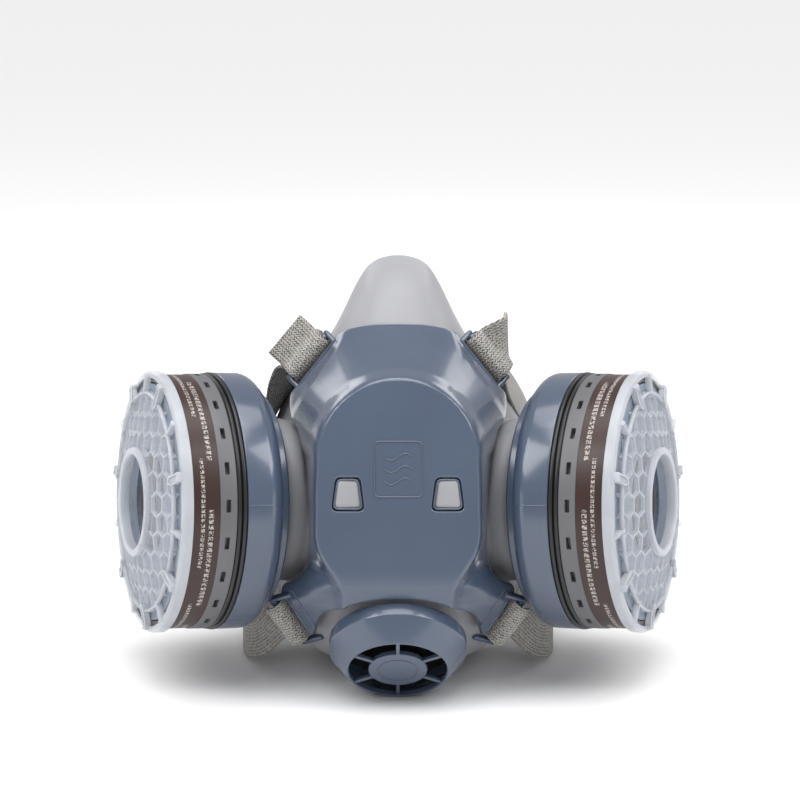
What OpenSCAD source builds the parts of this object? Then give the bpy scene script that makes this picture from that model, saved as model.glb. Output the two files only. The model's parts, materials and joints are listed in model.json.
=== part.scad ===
// Half-face respirator mask with two screw-in filter cartridges, standing on a table.
// The mask is drawn upright (X right, Y to the back, Z up, cartridge axes at Z = 0),
// then stand() leans it back onto its valve cover and chin, with Z = 0 at the table.

/* [Stance] */
// Angle the mask leans back on the table
lean = 12; // [11.5:0.25:12.5]
// How far the head strap reaches behind the mask
strap_back = 158; // [150:1:165]

/* [Cartridges] */
// Outer radius of the cartridge holders
cup_r = 44; // [42:0.5:45]
// Axial depth of a holder
cup_h = 13.5; // [12:0.5:15]
// Distance of a holder's back from the centre plane
cup_x = 51.8; // [51:0.2:53]
// Angle of the cartridge axes towards the front
swing = 21; // [20:0.5:22]
// Height of the rubber gasket
gasket_h = 3.5; // [3:0.25:4]
// Height of the slotted grip ring
grip_h = 5.8; // [5:0.2:7]
// Number of grip slots
grip_slots = 22; // [16:1:28]
// Height of the label band
label_h = 9.2; // [8:0.2:10]
// Number of windows around the retainer cap
cap_windows = 14; // [10:2:18]

/* [Valve] */
// Outer radius of the exhalation valve cover
valve_r = 23; // [22:0.5:24]
// Radius of the grille opening
grille_r = 16.9; // [15:0.1:17.5]
// Radius of the solid disc in the grille
hub_r = 9.8; // [8:0.2:11]
// Number of grille spokes
spokes = 6; // [4:1:8]
// Downward tilt of the valve from the horizontal
valve_tilt = 52.6; // [51:0.2:54]

/* [Shell and webbing] */
// Wall of the front shell
shell_t = 2.4; // [2:0.1:2.8]
// Wall of the rubber facepiece
rubber_t = 2.2; // [1.8:0.1:2.6]
// Width of the webbing
web_w = 17.5; // [16:0.5:18]
// Thickness of the webbing
web_t = 1.4; // [1.2:0.1:1.6]

/* [Hidden] */
$fn = 96;

// Colours
blue = [0.40, 0.46, 0.56];
silicone = [0.76, 0.77, 0.79];
black = [0.12, 0.12, 0.13];
grip_grey = [0.55, 0.56, 0.57];
brown = [0.36, 0.26, 0.23];
frosted = [0.90, 0.92, 0.95];
charcoal = [0.18, 0.18, 0.19];
fleece = [0.70, 0.73, 0.78];
webbing = [0.58, 0.56, 0.53];

// Placement
cup_y = 2;             // holder back, behind the shell's side edges
lift = 60.9;           // height of the cartridge axes above the table
front_reach = 51.9;    // how far the mask reaches to the front, before it is centred
shift_y = -(strap_back + 2.4 - front_reach) / 2;
valve_at = [0, -30, -55.4];

// Stations along a cartridge axis, measured outward from the holder's back
s_gasket = cup_h;
s_grip = s_gasket + gasket_h;
s_label = s_grip + grip_h;
s_skirt = s_label + label_h;
s_rim = s_skirt + 3.5;
s_face = s_rim + 1.7;
s_boss = s_rim + 6;
window_r = 37;
boss_r = 18.5;
boss_hole = 16;
wall_r = cup_r - 0.8;
port_r = 17;
port_t = 2.5;
port_in = 22;

module stand() translate([0, shift_y, lift]) rotate([-lean, 0, 0]) children();

// side = 1 is +X, side = -1 is -X; local +Z is the outward cartridge axis
module on_side(side)
    stand() mirror([side < 0 ? 1 : 0, 0, 0]) side_frame() children();
module side_frame()
    translate([cup_x, cup_y, 0]) rotate([0, 0, -swing]) rotate([0, 90, 0]) children();

// local +Z is the valve's outward normal, the origin is the middle of the grille
module valve_frame() translate(valve_at) rotate([180 - (90 - valve_tilt), 0, 0]) children();
module on_valve() stand() valve_frame() children();

module ring(r_out, r_in, z0, z1)
    translate([0, 0, z0]) difference() {
        cylinder(r = r_out, h = z1 - z0);
        translate([0, 0, -1]) cylinder(r = r_in, h = z1 - z0 + 2);
    }

// ---- smooth interpolation and lofting -------------------------------------------------

// Catmull-Rom value through p1 and p2 at u = 0..1
function cubic(p0, p1, p2, p3, u) =
    p1 + (p2 - p0) * u / 2 + (2 * p0 - 5 * p1 + 4 * p2 - p3) * u * u / 2
    + (3 * p1 - p0 - 3 * p2 + p3) * u * u * u / 2;
function pick(list, i) = list[min(max(i, 0), len(list) - 1)];
// points along an open row of control points, n per span
function row(p, n) = [for (i = [0 : len(p) - 2], k = [0 : n - 1])
    cubic(pick(p, i - 1), p[i], p[i + 1], pick(p, i + 2), k / n), p[len(p) - 1]];
// points round a closed row of control points, n per span
function round_row(p, n) = let (m = len(p)) [for (i = [0 : m - 1], k = [0 : n - 1])
    cubic(p[(i + m - 1) % m], p[i], p[(i + 1) % m], p[(i + 2) % m], k / n)];
// height from a table of [position, value] pairs in rising order, eased between them
function eased(t, x, i = 0) =
    x <= t[0][0] ? t[0][1]
    : i >= len(t) - 1 ? t[len(t) - 1][1]
    : x > t[i + 1][0] ? eased(t, x, i + 1)
    : let (u = (x - t[i][0]) / (t[i + 1][0] - t[i][0]))
        cubic(pick(t, i - 1)[1], t[i][1], t[i + 1][1], pick(t, i + 2)[1], u);
function unit(v) = v / norm(v);
function flat(lists) = [for (l = lists, e = l) e];
function ease(u) = let (c = min(max(u, 0), 1)) c * c * (3 - 2 * c);

// closed solid through rings of equal length, closed by a fan at each end
module loft(rings) {
    n = len(rings[0]);
    m = len(rings);
    ends = [rings[0], rings[m - 1]];
    middles = [for (r = ends) [for (k = [0 : 2]) [for (p = r) p[k]] * [for (p = r) 1 / n]]];
    faces = concat(
        [for (j = [0 : m - 2], i = [0 : n - 1], h = [0, 1]) let (a = j * n + i, b = j * n + (i + 1) % n)
            h == 0 ? [a, b, a + n] : [b, b + n, a + n]],
        [for (i = [0 : n - 1]) [(i + 1) % n, i, m * n]],
        [for (i = [0 : n - 1]) [(m - 1) * n + i, (m - 1) * n + (i + 1) % n, m * n + 1]]);
    polyhedron(concat(flat(rings), middles), faces);
}

// ribbon of the webbing's section along points, with the width along across[i]
module ribbon(points, across, w = web_w, t = web_t) {
    n = len(points);
    rings = [for (i = [0 : n - 1]) let (
        along = unit(pick(points, i + 1) - pick(points, i - 1)),
        a = unit(across[i] - along * (across[i] * along)),
        b = cross(along, a))
        [for (c = [[-1, 1], [1, 1], [1, -1], [-1, -1]]) points[i] + a * c[0] * w / 2 + b * c[1] * t / 2]];
    loft(rings);
}

// ---- front shell ---------------------------------------------------------------------

// depth of the shell's raised middle panel against height
panel_y = [[-52, -33], [-45, -35.5], [-38, -38], [-33, -40.5], [-30, -42.5], [-27, -44.8],
    [-15, -45.5], [0, -45.6], [15, -45], [30, -43.5], [41, -41.5], [50, -40], [64, -38]];
// half width of the panel against height, below its round top
panel_x = [[-52, 17], [-28, 17.4], [-14, 25.6], [0, 26.4], [15, 26]];
panel_r = 26;        // radius of the panel's round top, centred at height panel_top
panel_top = 15;
// half width and depth of the shell's side edge against height, below panel_top
edge_x = [[-52, 33], [-46, 35], [-36, 40], [-29, 40], [-22, 33], [-12, 30.6], [0, 31], [15, 32.2]];
edge_y = [[-52, -4], [-46, -5], [-36, -10], [-29, -13], [-22, -18], [-12, -20], [0, -18], [15, -13]];
// reach and depth of the shell's edge against the angle from the top, above panel_top
edge_r = [[0, 45.8], [20, 47], [30, 47.3], [45, 45.6], [57, 44.8], [68, 40.5], [76, 37], [90, 32.2]];
edge_d = [[0, -12], [20, -9], [30, -6], [45, -3.5], [57, -2.5], [68, -3], [76, -6], [90, -13]];
side_depth = 5.5;    // most that the wall measures from front to back, where it is steep
raise = 2.6;         // height of the panel over the shell round it
bevel = 3.6;         // width of the panel's bevel

function shell_y(x, z) =
    let (
        up = z > panel_top,
        turn = up ? atan2(abs(x), z - panel_top) : 90,
        start = up ? panel_r : eased(panel_x, z),
        stop = up ? eased(edge_r, turn) : eased(edge_x, z),
        far = up ? eased(edge_d, turn) : eased(edge_y, z),
        out = max(0, (up ? norm([x, z - panel_top]) : abs(x)) - start),
        part = out / (stop - start),
        near = eased(panel_y, z) + 0.0015 * x * x)
    near + raise * ease(out / bevel) + (far - near - raise) * pow(part, up ? 0.9 : 1.05);
function shell_back(x, z) =
    let (
        slope_x = shell_y(x + 0.5, z) - shell_y(x - 0.5, z),
        slope_z = shell_y(x, z + 0.5) - shell_y(x, z - 0.5))
    shell_y(x, z) + min(shell_t * norm([1, slope_x, slope_z]), side_depth);

grid_half = [0, 6, 11, 14.5, 17, 19, 21, 23, 25, 26.5, 28, 29.5, 31, 33, 36, 39, 43];
grid_x = concat([for (i = [len(grid_half) - 1 : -1 : 1]) -grid_half[i]], grid_half);
grid_z = [-51, -46, -42, -38, -35, -32.5, -30, -28, -26, -22, -16, -9, -1, 7, 15, 19, 23, 26, 28.5, 31,
    33, 35, 37, 39, 40.5, 42, 43.5, 45.5, 48, 51, 54, 58, 62];

// thick curved sheet that the shell's outline is cut from
module shell_sheet() {
    nx = len(grid_x);
    nz = len(grid_z);
    half = nx * nz;
    front = [for (z = grid_z, x = grid_x) [x, shell_y(x, z), z]];
    back = [for (z = grid_z, x = grid_x) [x, shell_back(x, z), z]];
    tris = flat([for (j = [0 : nz - 2], i = [0 : nx - 2]) let (a = j * nx + i, b = a + nx)
        [[b + 1, a + 1, a], [b, b + 1, a]]]);
    border = concat([for (i = [0 : nx - 1]) i], [for (j = [1 : nz - 1]) j * nx + nx - 1],
        [for (i = [nx - 2 : -1 : 0]) (nz - 1) * nx + i], [for (j = [nz - 2 : -1 : 1]) j * nx]);
    edge_tris = flat([for (k = [0 : len(border) - 1]) let (a = border[k], b = border[(k + 1) % len(border)])
        [[a, b, b + half], [a, b + half, a + half]]]);
    polyhedron(concat(front, back),
        concat(tris, [for (f = tris) [f[2] + half, f[1] + half, f[0] + half]], edge_tris));
}

// right half of the shell's outline, from the middle of its top edge to the valve arch
outline_half = [[0, 60.8], [9, 60.5], [15.3, 59.6], [19.6, 58.2], [23.5, 56], [34.5, 42], [37.4, 36],
    [37.6, 30], [36.6, 27], [34.8, 24.8], [33.4, 20], [32, 13.5], [30.9, 1], [30.3, -12], [30.8, -19],
    [32.6, -23.5], [35.6, -26.2], [39.6, -27.6], [40.4, -31], [32, -46], [30, -45.6], [28.4, -43],
    [27.4, -39.4], [24.5, -36.3], [19.5, -34.9], [15, -33], [8, -31.5], [0, -31]];
function mirrored(half) = concat(half, [for (i = [len(half) - 2 : -1 : 1]) [-half[i][0], half[i][1]]]);
window_at = [16.3, 3.8];
window_half = [[3.9, 5.3], [5.25, -5.3]];

module window_shape(inset = 0)
    polygon([for (c = [[-1, 1], [1, 1], [1, 0], [-1, 0]]) let (corner = window_half[c[1]])
        [c[0] * (corner[0] - inset), corner[1] + (c[1] == 1 ? inset : -inset)]]);
module through_y(y0, y1) translate([0, y1, 0]) rotate([90, 0, 0]) linear_extrude(y1 - y0) children();

// a slot bar: its middle, the direction along it, and the direction away from the mask
upper_bar = [[30.6, -2.2, 49.6], [-0.638, -0.178, 0.749], [0.6, 0.5, 0.63]];
lower_bar = [[37.2, -8.0, -40.6], [-0.52, 0.42, -0.744], [0.62, 0.62, -0.45]];
bar_half = 1.3;
slot_w = 4.2;
// local +X points away from the mask, +Y to the front of the plate and +Z along the bar
module bar_frame(b) {
    u = b[1] / norm(b[1]);
    a = unit(b[2] - u * (b[2] * u));
    n = cross(u, a) * (cross(u, a)[1] > 0 ? -1 : 1);
    multmatrix(concat([for (k = [0 : 2]) [a[k], n[k], u[k], b[0][k]]], [[0, 0, 0, 1]])) children();
}
slot_l = web_w + 1;
post = 1.7;          // material beyond each end of a slot
module slot_plate(b, inner) bar_frame(b)
    translate([-inner, -bar_half, -slot_l / 2 - post])
        cube([inner + bar_half, 2 * bar_half, slot_l + 2 * post]);
module slot_space(b) bar_frame(b)
    translate([-bar_half - slot_w, -7, -slot_l / 2]) cube([slot_w + 12, 14, slot_l]);
module slot_bar(b) bar_frame(b)
    translate([-bar_half, -bar_half, -slot_l / 2 - 0.5]) cube([2 * bar_half, 2 * bar_half, slot_l + 1]);

module shell_body() {
    difference() {
        union() {
            intersection() {
                shell_sheet();
                through_y(-60, 20) difference() {
                    polygon(mirrored(outline_half));
                    for (side = [-1, 1]) translate([side * window_at[0], window_at[1]]) window_shape();
                }
            }
            for (side = [0, 1]) mirror([side, 0, 0]) {
                slot_plate(upper_bar, 7);
                slot_plate(lower_bar, 8);
            }
        }
        for (side = [0, 1]) mirror([side, 0, 0]) {
            slot_space(upper_bar);
            slot_space(lower_bar);
            side_frame() translate([0, 0, -4]) cylinder(r = cup_r + 0.5, h = 40);
        }
    }
    for (side = [0, 1], b = [upper_bar, lower_bar]) mirror([side, 0, 0]) slot_bar(b);
}
module front_shell() color(blue) stand() resize([0, 0, 0]) shell_body();

// ---- rubber facepiece ----------------------------------------------------------------

// Half rings from the nose (first point) round the cheek to the chin (last point),
// from the front plate behind the shell, over the rim, to the edge of the inner lip
face_rows = [
    [[0, -30, 36], [8, -32, 33], [13, -35, 24], [16, -37, 12],
        [17, -38, -3], [15, -37, -16], [9, -36, -25], [0, -35, -28]],
    [[0, -11, 54], [12, -13, 50], [20, -17, 36], [23.5, -22, 16],
        [24, -24, -4], [23.5, -22, -22], [17.5, -21, -38], [0, -22, -43]],
    [[0, 4, 73], [11.5, 5, 67], [23, 3, 48], [34, 2, 25],
        [36.5, 2, 0], [34.5, 3, -26], [30, 5, -47.5], [0, 4.5, -57.2]],
    [[0, 19, 83], [11.5, 20, 75.5], [21.5, 22, 57], [37.5, 25, 34],
        [45, 27, 5], [42, 27, -25], [31, 27, -46.5], [0, 28, -53.5]],
    [[0, 23, 81.5], [11.5, 26, 74], [22, 32, 55.5], [38, 40, 33],
        [47, 45, 5], [44, 45, -24], [31, 43, -43.5], [0, 40, -50.2]],
    [[0, 22, 70], [8, 26, 64.5], [14, 33, 50], [26, 40, 28],
        [35, 44, 5], [33, 44, -18], [22, 42, -33], [0, 40, -39]]];
face_front = [0, -37.5, 3];
face_round = 3;   // points per span round a ring
face_deep = 3;    // rings per span from front to lip

function full_ring(half) =
    concat(half, [for (i = [len(half) - 2 : -1 : 1]) [-half[i][0], half[i][1], half[i][2]]]);
front_row = [for (p = face_rows[0]) face_front + (p - face_front) * 0.4];
face_rings = let (
        full = [for (r = concat([front_row], face_rows)) full_ring(r)],
        m = len(full[0]),
        ribs = [for (i = [0 : m - 1]) row([for (r = full) r[i]], face_deep)])
    [for (j = [0 : len(ribs[0]) - 1]) round_row([for (i = [0 : m - 1]) ribs[i][j]], face_round)];
// the same rings moved in by the wall
function inward(rings, t) = let (n = len(rings[0]))
    [for (j = [0 : len(rings) - 1]) [for (i = [0 : n - 1]) let (
            round_about = rings[j][(i + 1) % n] - rings[j][(i + n - 1) % n],
            back = pick(rings, j + 1)[i] - pick(rings, j - 1)[i])
        rings[j][i] + unit(cross(round_about, back)) * t]];
module face_cup() {
    inner = inward(face_rings, rubber_t);
    loft(concat(face_rings, [for (j = [len(inner) - 1 : -1 : 0]) inner[j]]));
}

collar_r = 20.5;
// bellows section round a cartridge port: radius against distance along the axis
bellows = [[-18, 24], [-14.5, 27], [-11, 28.2], [-7.5, 27.8], [-5.6, 26.4], [-4.6, 24.8], [-3.6, 25.6]];
module facepiece() color(silicone) stand() resize([0, 0, 0]) difference() {
    union() {
        face_cup();
        for (side = [0, 1]) mirror([side, 0, 0]) {
            side_frame() rotate_extrude($fn = 48)
                polygon(concat([for (p = row(bellows, 2)) [p[1], p[0]]], [[10, -3.6], [10, -18]]));
            translate([window_at[0], 0, window_at[1]]) through_y(-44.9, -35) window_shape(0.75);
        }
        valve_frame() translate([0, 0, -22]) cylinder(r = collar_r, h = 11, $fn = 48);
    }
    for (side = [0, 1]) mirror([side, 0, 0])
        side_frame() translate([0, 0, -40]) cylinder(r = port_r + port_t + 0.1, h = 60, $fn = 48);
    valve_frame() translate([0, 0, -50]) cylinder(r = 17.1, h = 80, $fn = 48);
    shell_body();
    for (side = [0, 1]) mirror([side, 0, 0]) slot_space(lower_bar);
}

// ---- exhalation valve ----------------------------------------------------------------

cone_h = 7.5;         // height of the valve cover's cone
cover_t = 2;          // wall of the valve cover
seat_r = 17;          // outer radius of the exhale seat's tube
valve_in = 13.6;      // radius of the air passage through it
cross_w = 1.6;        // width of the seats' cross bars
// hub with a pin hole, and the four bars that hold it in a tube of radius r, above z
module cross(r, z, h, turn = 0) {
    ring(3, 1.4, z, z + h);
    for (k = [0 : 3]) rotate([0, 0, turn + 90 * k])
        translate([2.6, -cross_w / 2, z]) cube([r - 2.2, cross_w, h]);
}
module exhale_seat() color(black) on_valve() {
    ring(seat_r, valve_in, -22, -11);
    ring(seat_r + 2.4, valve_in, -11, -9.8);
    cross(valve_in, -15.5, 1.5);
}
module exhale_flap() color(black) on_valve() {
    ring(valve_in - 0.4, 1.2, -13.8, -13);
    translate([0, 0, -16]) cylinder(r = 1.2, h = 3.8);
}
module valve_cover() color(blue) on_valve() {
    rotate_extrude() polygon([[grille_r - 0.5, 0], [grille_r + 0.1, 0], [valve_r, -cone_h], [valve_r, -12],
        [valve_r - cover_t, -12], [valve_r - cover_t, -cone_h - 0.6], [grille_r - 0.5, -cover_t]]);
    translate([0, 0, -cover_t]) cylinder(r = hub_r, h = cover_t);
    difference() {
        for (k = [0 : spokes - 1]) rotate([0, 0, 90 + 360 * k / spokes])
            translate([hub_r - 0.6, -0.6, 0.1 - cover_t]) cube([grille_r - hub_r + 0.7, 1.2, 1.5]);
        translate([0, 0, -3]) cylinder(r = hub_r - 0.3, h = 4);
    }
}

// ---- cartridge holders ---------------------------------------------------------------

corner_r = 8;        // rounding of a holder's back edge
holder_t = 2.5;      // wall of a holder
// quarter circle of the holder's corner, with radius r, from its back to its side
function corner(r) = [for (a = [0 : 15 : 90]) [cup_r - corner_r + r * sin(a), corner_r - r * cos(a)]];
module holder(side) color(blue) on_side(side) rotate_extrude() difference() {
    polygon(concat(
        [[port_r, -port_in], [port_r + port_t, -port_in], [port_r + port_t, -3.2], [36.5, -3.2],
            [37.6, -2.2], [37.6, 0.4]],
        corner(corner_r), [[cup_r, cup_h], [port_r, cup_h]]));
    polygon(concat([[port_r - 1, holder_t]], corner(corner_r - holder_t),
        [[cup_r - holder_t, cup_h + 1], [port_r - 1, cup_h + 1]]));
}
nut_r = port_r + port_t + 5;
module port_nut(side) color(black) on_side(side) difference() {
    ring(nut_r, port_r + port_t, -port_in, -port_in + 3);
    for (k = [0 : 11]) rotate([0, 0, 30 * k])
        translate([nut_r, 0, -port_in - 1]) cylinder(r = 1.6, h = 5, $fn = 24);
}
module inhale_seat(side) color(black) on_side(side) {
    ring(port_r, port_r - 2.4, -port_in, -port_in + 3);
    cross(port_r - 2.4, -port_in, 1.6, 45);
}
module inhale_flap(side) color(silicone) on_side(side) {
    ring(port_r - 0.8, 1, -port_in - 1.1, -port_in - 0.3);
    translate([0, 0, -port_in - 1.1]) cylinder(r = 1.1, h = 3.5);
}

// ---- cartridges ----------------------------------------------------------------------

thread_r = cup_r - 3.2;
// flat ring with a wide bead and a thin bead round its edge
module gasket(side) color(black) on_side(side) rotate_extrude()
    polygon([[thread_r + 0.4, s_gasket + 0.05], [cup_r - 0.6, s_gasket + 0.05], [cup_r, s_gasket + 0.5],
        [cup_r, s_gasket + 1.5], [cup_r - 0.9, s_gasket + 1.9], [cup_r - 0.2, s_gasket + 2.3],
        [cup_r - 0.2, s_grip - 0.4], [cup_r - 0.7, s_grip - 0.05], [thread_r + 0.4, s_grip - 0.05]]);
skirt_in = s_gasket - 5.5;   // inner end of the thread skirt, inside the holder
module canister(side) color(grip_grey) on_side(side) difference() {
    rotate_extrude() polygon([[boss_hole, s_grip], [thread_r - 3, s_grip], [thread_r - 3, skirt_in],
        [thread_r, skirt_in], [thread_r, s_grip], [wall_r + 0.4, s_grip], [wall_r + 0.4, s_label],
        [wall_r - 0.4, s_label], [wall_r - 0.4, s_rim - 1], [wall_r - 2.6, s_rim - 1],
        [wall_r - 2.6, s_grip + 2], [boss_hole, s_grip + 2]]);
    for (k = [0 : grip_slots - 1]) rotate([0, 0, 360 * k / grip_slots])
        translate([wall_r - 1.2, -2, s_grip + 2.6]) cube([4, 4, 1.5]);
}
module label(side) color(brown) on_side(side)
    ring(wall_r + 0.1, wall_r - 0.4, s_label + 0.05, s_skirt - 0.2);
bed = [s_grip + 2.05, s_skirt - 3];   // the sorbent, from its floor to its top
module sorbent(side) color(charcoal) on_side(side)
    translate([0, 0, bed[0]]) cylinder(r = wall_r - 2.7, h = bed[1] - bed[0]);

cell = 6.6;      // pitch of the honeycomb
module honeycomb(side) color(blue) on_side(side)
    translate([0, 0, s_skirt - 2.9]) linear_extrude(1.4) difference() {
    circle(r = wall_r - 2.7);
    intersection() {
        circle(r = wall_r - 6);
        for (i = [-6 : 6], j = [-7 : 7]) {
            p = [i * cell * 0.866, (j + (i % 2 == 0 ? 0 : 0.5)) * cell];
            if (norm(p) < wall_r - 8) translate(p) circle(r = cell / 2 * 1.02, $fn = 6);
        }
    }
}
module core(side) color(charcoal) on_side(side) {
    translate([0, 0, s_skirt - 1.4]) cylinder(r = boss_hole - 1, h = 4);
    for (k = [-1 : 1]) translate([-9, 5 * k - 0.8, s_skirt + 2.5]) cube([18, 1.6, 0.8]);
}
module prefilter(side) color(fleece) on_side(side)
    ring(wall_r - 3, boss_hole + 2, s_skirt - 1.4, s_rim - 0.6);

// rib between two windows of the cap, standing proud as a tab
module cap_rib(big) {
    inset = big ? 3 : 1;
    translate([window_r - inset, big ? -1.4 : -0.9, s_rim - 0.6])
        cube([cup_r - 0.5 - window_r + inset, big ? 2.8 : 1.8, big ? 2.6 : 1.8]);
}
module cap(side) color(frosted, 0.6) on_side(side) {
    difference() {
        rotate_extrude() polygon([[cup_r - 0.7, s_skirt], [cup_r + 0.5, s_skirt],
            [cup_r + 0.5, s_rim - 0.6], [cup_r - 0.1, s_rim], [cup_r - 1, s_rim + 0.2], [window_r, s_face],
            [boss_r, s_boss - 0.7], [boss_r, s_boss], [boss_hole, s_boss], [boss_hole, s_rim + 0.6],
            [boss_hole + 1, s_rim + 0.6], [boss_hole + 1, s_boss - 2.2], [window_r, s_face - 1.2],
            [cup_r - 1, s_rim - 0.8], [cup_r - 0.7, s_rim - 0.9]]);
        for (k = [0 : cap_windows - 1]) rotate([0, 0, 360 * (k + 0.5) / cap_windows]) intersection() {
            translate([0, 0, s_rim - 4]) linear_extrude(9)
                polygon([for (c = [0, -1, 1]) [abs(c) * 60, c * 60 * tan(window_turn)]]);
            ring(cup_r - 1.8, window_r + 0.2, s_rim - 4, s_rim + 5);
        }
    }
    for (k = [0 : cap_windows - 1]) rotate([0, 0, 360 * k / cap_windows]) cap_rib(k % 2 == 0);
}
window_turn = 150 / cap_windows;   // half angle of a window

// ---- straps --------------------------------------------------------------------------

gap = 0.35;          // clearance of the webbing round a slot bar
fold = 2.2;          // length of webbing that lies on the shell beside the bar
// end of a strap, wrapped round bar b, whose cut tail stands out by tail
module strap_end(b, tail, side) color(webbing) stand() mirror([side < 0 ? 1 : 0, 0, 0]) bar_frame(b)
    translate([0, 0, -web_w / 2]) linear_extrude(web_w) {
        near = bar_half + gap;
        far = near + web_t;
        out = max(tail, fold);
        rise = tail > 0 ? 2.2 : 0;
        polygon([[-far, -far], [-near, -far], [-near, near], [fold + rise / 3, near], [out, near + rise],
            [out, far + rise], [fold + rise / 3, far], [-far + 0.6, far], [-far, far - 0.6]]);
        polygon([[-far, -far], [fold, -far], [fold, -near], [-far, -near]]);
    }

// half of the head strap, from its slot to the middle of its back, above the table,
// and the direction across the webbing at each point
head_half = [[31.2, 12.9, 110.5], [32.8, 16.4, 111.2], [36.4, 20.4, 108.8], [40, 23.8, 103],
    [42.6, 28, 95.8], [45.2, 35, 88.4], [48.8, 47.5, 77], [52.5, 67, 60], [54, 96, 37.5],
    [49, 127, 20.5], [34, 150, 11.6], [17, strap_back - 1.5, 9.2], [0, strap_back, 8.9]];
head_across = [[0.638, 0.018, -0.77], [0.63, -0.1, -0.76], [0.58, -0.38, -0.7], [0.46, -0.74, -0.4],
    [0.38, -0.78, -0.46], [0.3, -0.66, -0.66], [0.2, -0.55, -0.8], [0.1, -0.5, -0.86], [0.04, -0.48, -0.88],
    [0, -0.4, -0.92], [0, -0.3, -0.95], [0, -0.2, -0.98], [0, -0.2, -0.98]];
function other_side(half) = [for (i = [len(half) - 2 : -1 : 0]) [-half[i][0], half[i][1], half[i][2]]];
module head_strap() color(webbing) translate([0, shift_y, 0])
    ribbon(row(concat(head_half, other_side(head_half)), 3),
        row(concat(head_across, other_side(head_across)), 3));

clasp_y = 93;
// one side of the neck strap, from its slot to the clasp, and the direction across it
neck_half = [[39.4, -10.6, 23.1], [41.2, -7, 22.8], [43.8, -1.8, 19.2], [48.6, 4.6, 12.4],
    [53, 12.5, 9.4], [55.1, 24, 9.1], [54.4, 40, 9.1], [50, 60, 9.1],
    [38, 80, 9.1], [24, 90, 9.1], [14, clasp_y, 9.1]];
neck_across = [[-0.52, 0.256, -0.815], [-0.49, 0.18, -0.86], [-0.28, -0.14, -0.95], [-0.08, -0.18, -0.98],
    [0, -0.2, -0.98], [0, -0.12, -0.99], [0, 0, -1], [0, 0, -1], [0, 0, -1], [0, 0, -1], [0, 0, -1]];
module neck_strap(side) color(webbing) translate([0, shift_y, 0]) mirror([side < 0 ? 1 : 0, 0, 0])
    ribbon(row(neck_half, 3), row(neck_across, 3));

clasp_end = [2.4, 3.4, 17];    // upright that holds a strap's end
clasp_plate = [13, 1.6, 11.5];
module clasp_hook() color(black) translate([0, shift_y + clasp_y, 0]) {
    translate([-13.6, -1.2, 0.4]) cube(clasp_end);
    translate([-11.2, 0.9, 3]) cube(clasp_plate);
}
module clasp_loop() color(black) translate([0, shift_y + clasp_y, 0]) {
    translate([11.2, -1.2, 0.4]) cube(clasp_end);
    translate([-1.8, -1.2, 3]) cube(clasp_plate);
}

facepiece();
front_shell();
exhale_seat();
exhale_flap();
valve_cover();
holder(-1);  // left_holder
holder(1);  // right_holder
port_nut(-1);  // left_port_nut
port_nut(1);  // right_port_nut
inhale_seat(-1);  // left_inhale_seat
inhale_seat(1);  // right_inhale_seat
inhale_flap(-1);  // left_inhale_flap
inhale_flap(1);  // right_inhale_flap
gasket(-1);  // left_gasket
gasket(1);  // right_gasket
canister(-1);  // left_canister
canister(1);  // right_canister
label(-1);  // left_label
label(1);  // right_label
sorbent(-1);  // left_sorbent
sorbent(1);  // right_sorbent
honeycomb(-1);  // left_honeycomb
honeycomb(1);  // right_honeycomb
core(-1);  // left_core
core(1);  // right_core
prefilter(-1);  // left_prefilter
prefilter(1);  // right_prefilter
cap(-1);  // left_cap
cap(1);  // right_cap
strap_end(upper_bar, 10.5, -1);  // upper_left_strap_end
strap_end(upper_bar, 10.5, 1);  // upper_right_strap_end
strap_end(lower_bar, 0, -1);  // lower_left_strap_end
strap_end(lower_bar, 0, 1);  // lower_right_strap_end
head_strap();
neck_strap(-1);  // neck_strap_left
neck_strap(1);  // neck_strap_right
clasp_hook();
clasp_loop();
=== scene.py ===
"""Looks of the half-face respirator mask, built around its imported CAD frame.

Most sizes are in millimetres, in the mask's own upright frame (X right, Y to the back, Z up,
cartridge axes at Z = 0), as in part.scad. STAND leans that frame back onto the table, in metres.
"""
import json
import math
import bmesh
import bpy
import numpy as np
from mathutils import Matrix, Vector
from mathutils.geometry import delaunay_2d_cdt


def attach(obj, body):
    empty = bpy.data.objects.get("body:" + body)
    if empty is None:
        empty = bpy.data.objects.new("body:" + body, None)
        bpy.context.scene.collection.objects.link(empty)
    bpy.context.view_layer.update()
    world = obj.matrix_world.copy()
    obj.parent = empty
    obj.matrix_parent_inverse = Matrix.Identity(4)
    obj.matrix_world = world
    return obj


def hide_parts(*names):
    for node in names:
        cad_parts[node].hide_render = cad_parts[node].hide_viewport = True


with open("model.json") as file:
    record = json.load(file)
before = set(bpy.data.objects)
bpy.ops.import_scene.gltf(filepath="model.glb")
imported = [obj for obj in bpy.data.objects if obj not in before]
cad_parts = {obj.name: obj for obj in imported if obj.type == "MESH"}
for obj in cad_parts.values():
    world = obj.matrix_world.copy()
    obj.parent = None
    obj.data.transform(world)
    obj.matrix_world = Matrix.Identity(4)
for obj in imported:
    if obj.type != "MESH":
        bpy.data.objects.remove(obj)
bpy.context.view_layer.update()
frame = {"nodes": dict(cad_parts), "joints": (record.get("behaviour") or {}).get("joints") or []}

MM = 0.001
SIDES = {"left": -1, "right": 1}
joints = {j["name"]: j for j in frame["joints"]}

# ---- placement; the cartridge axes and the lean come from the frame's joints ----------

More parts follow.
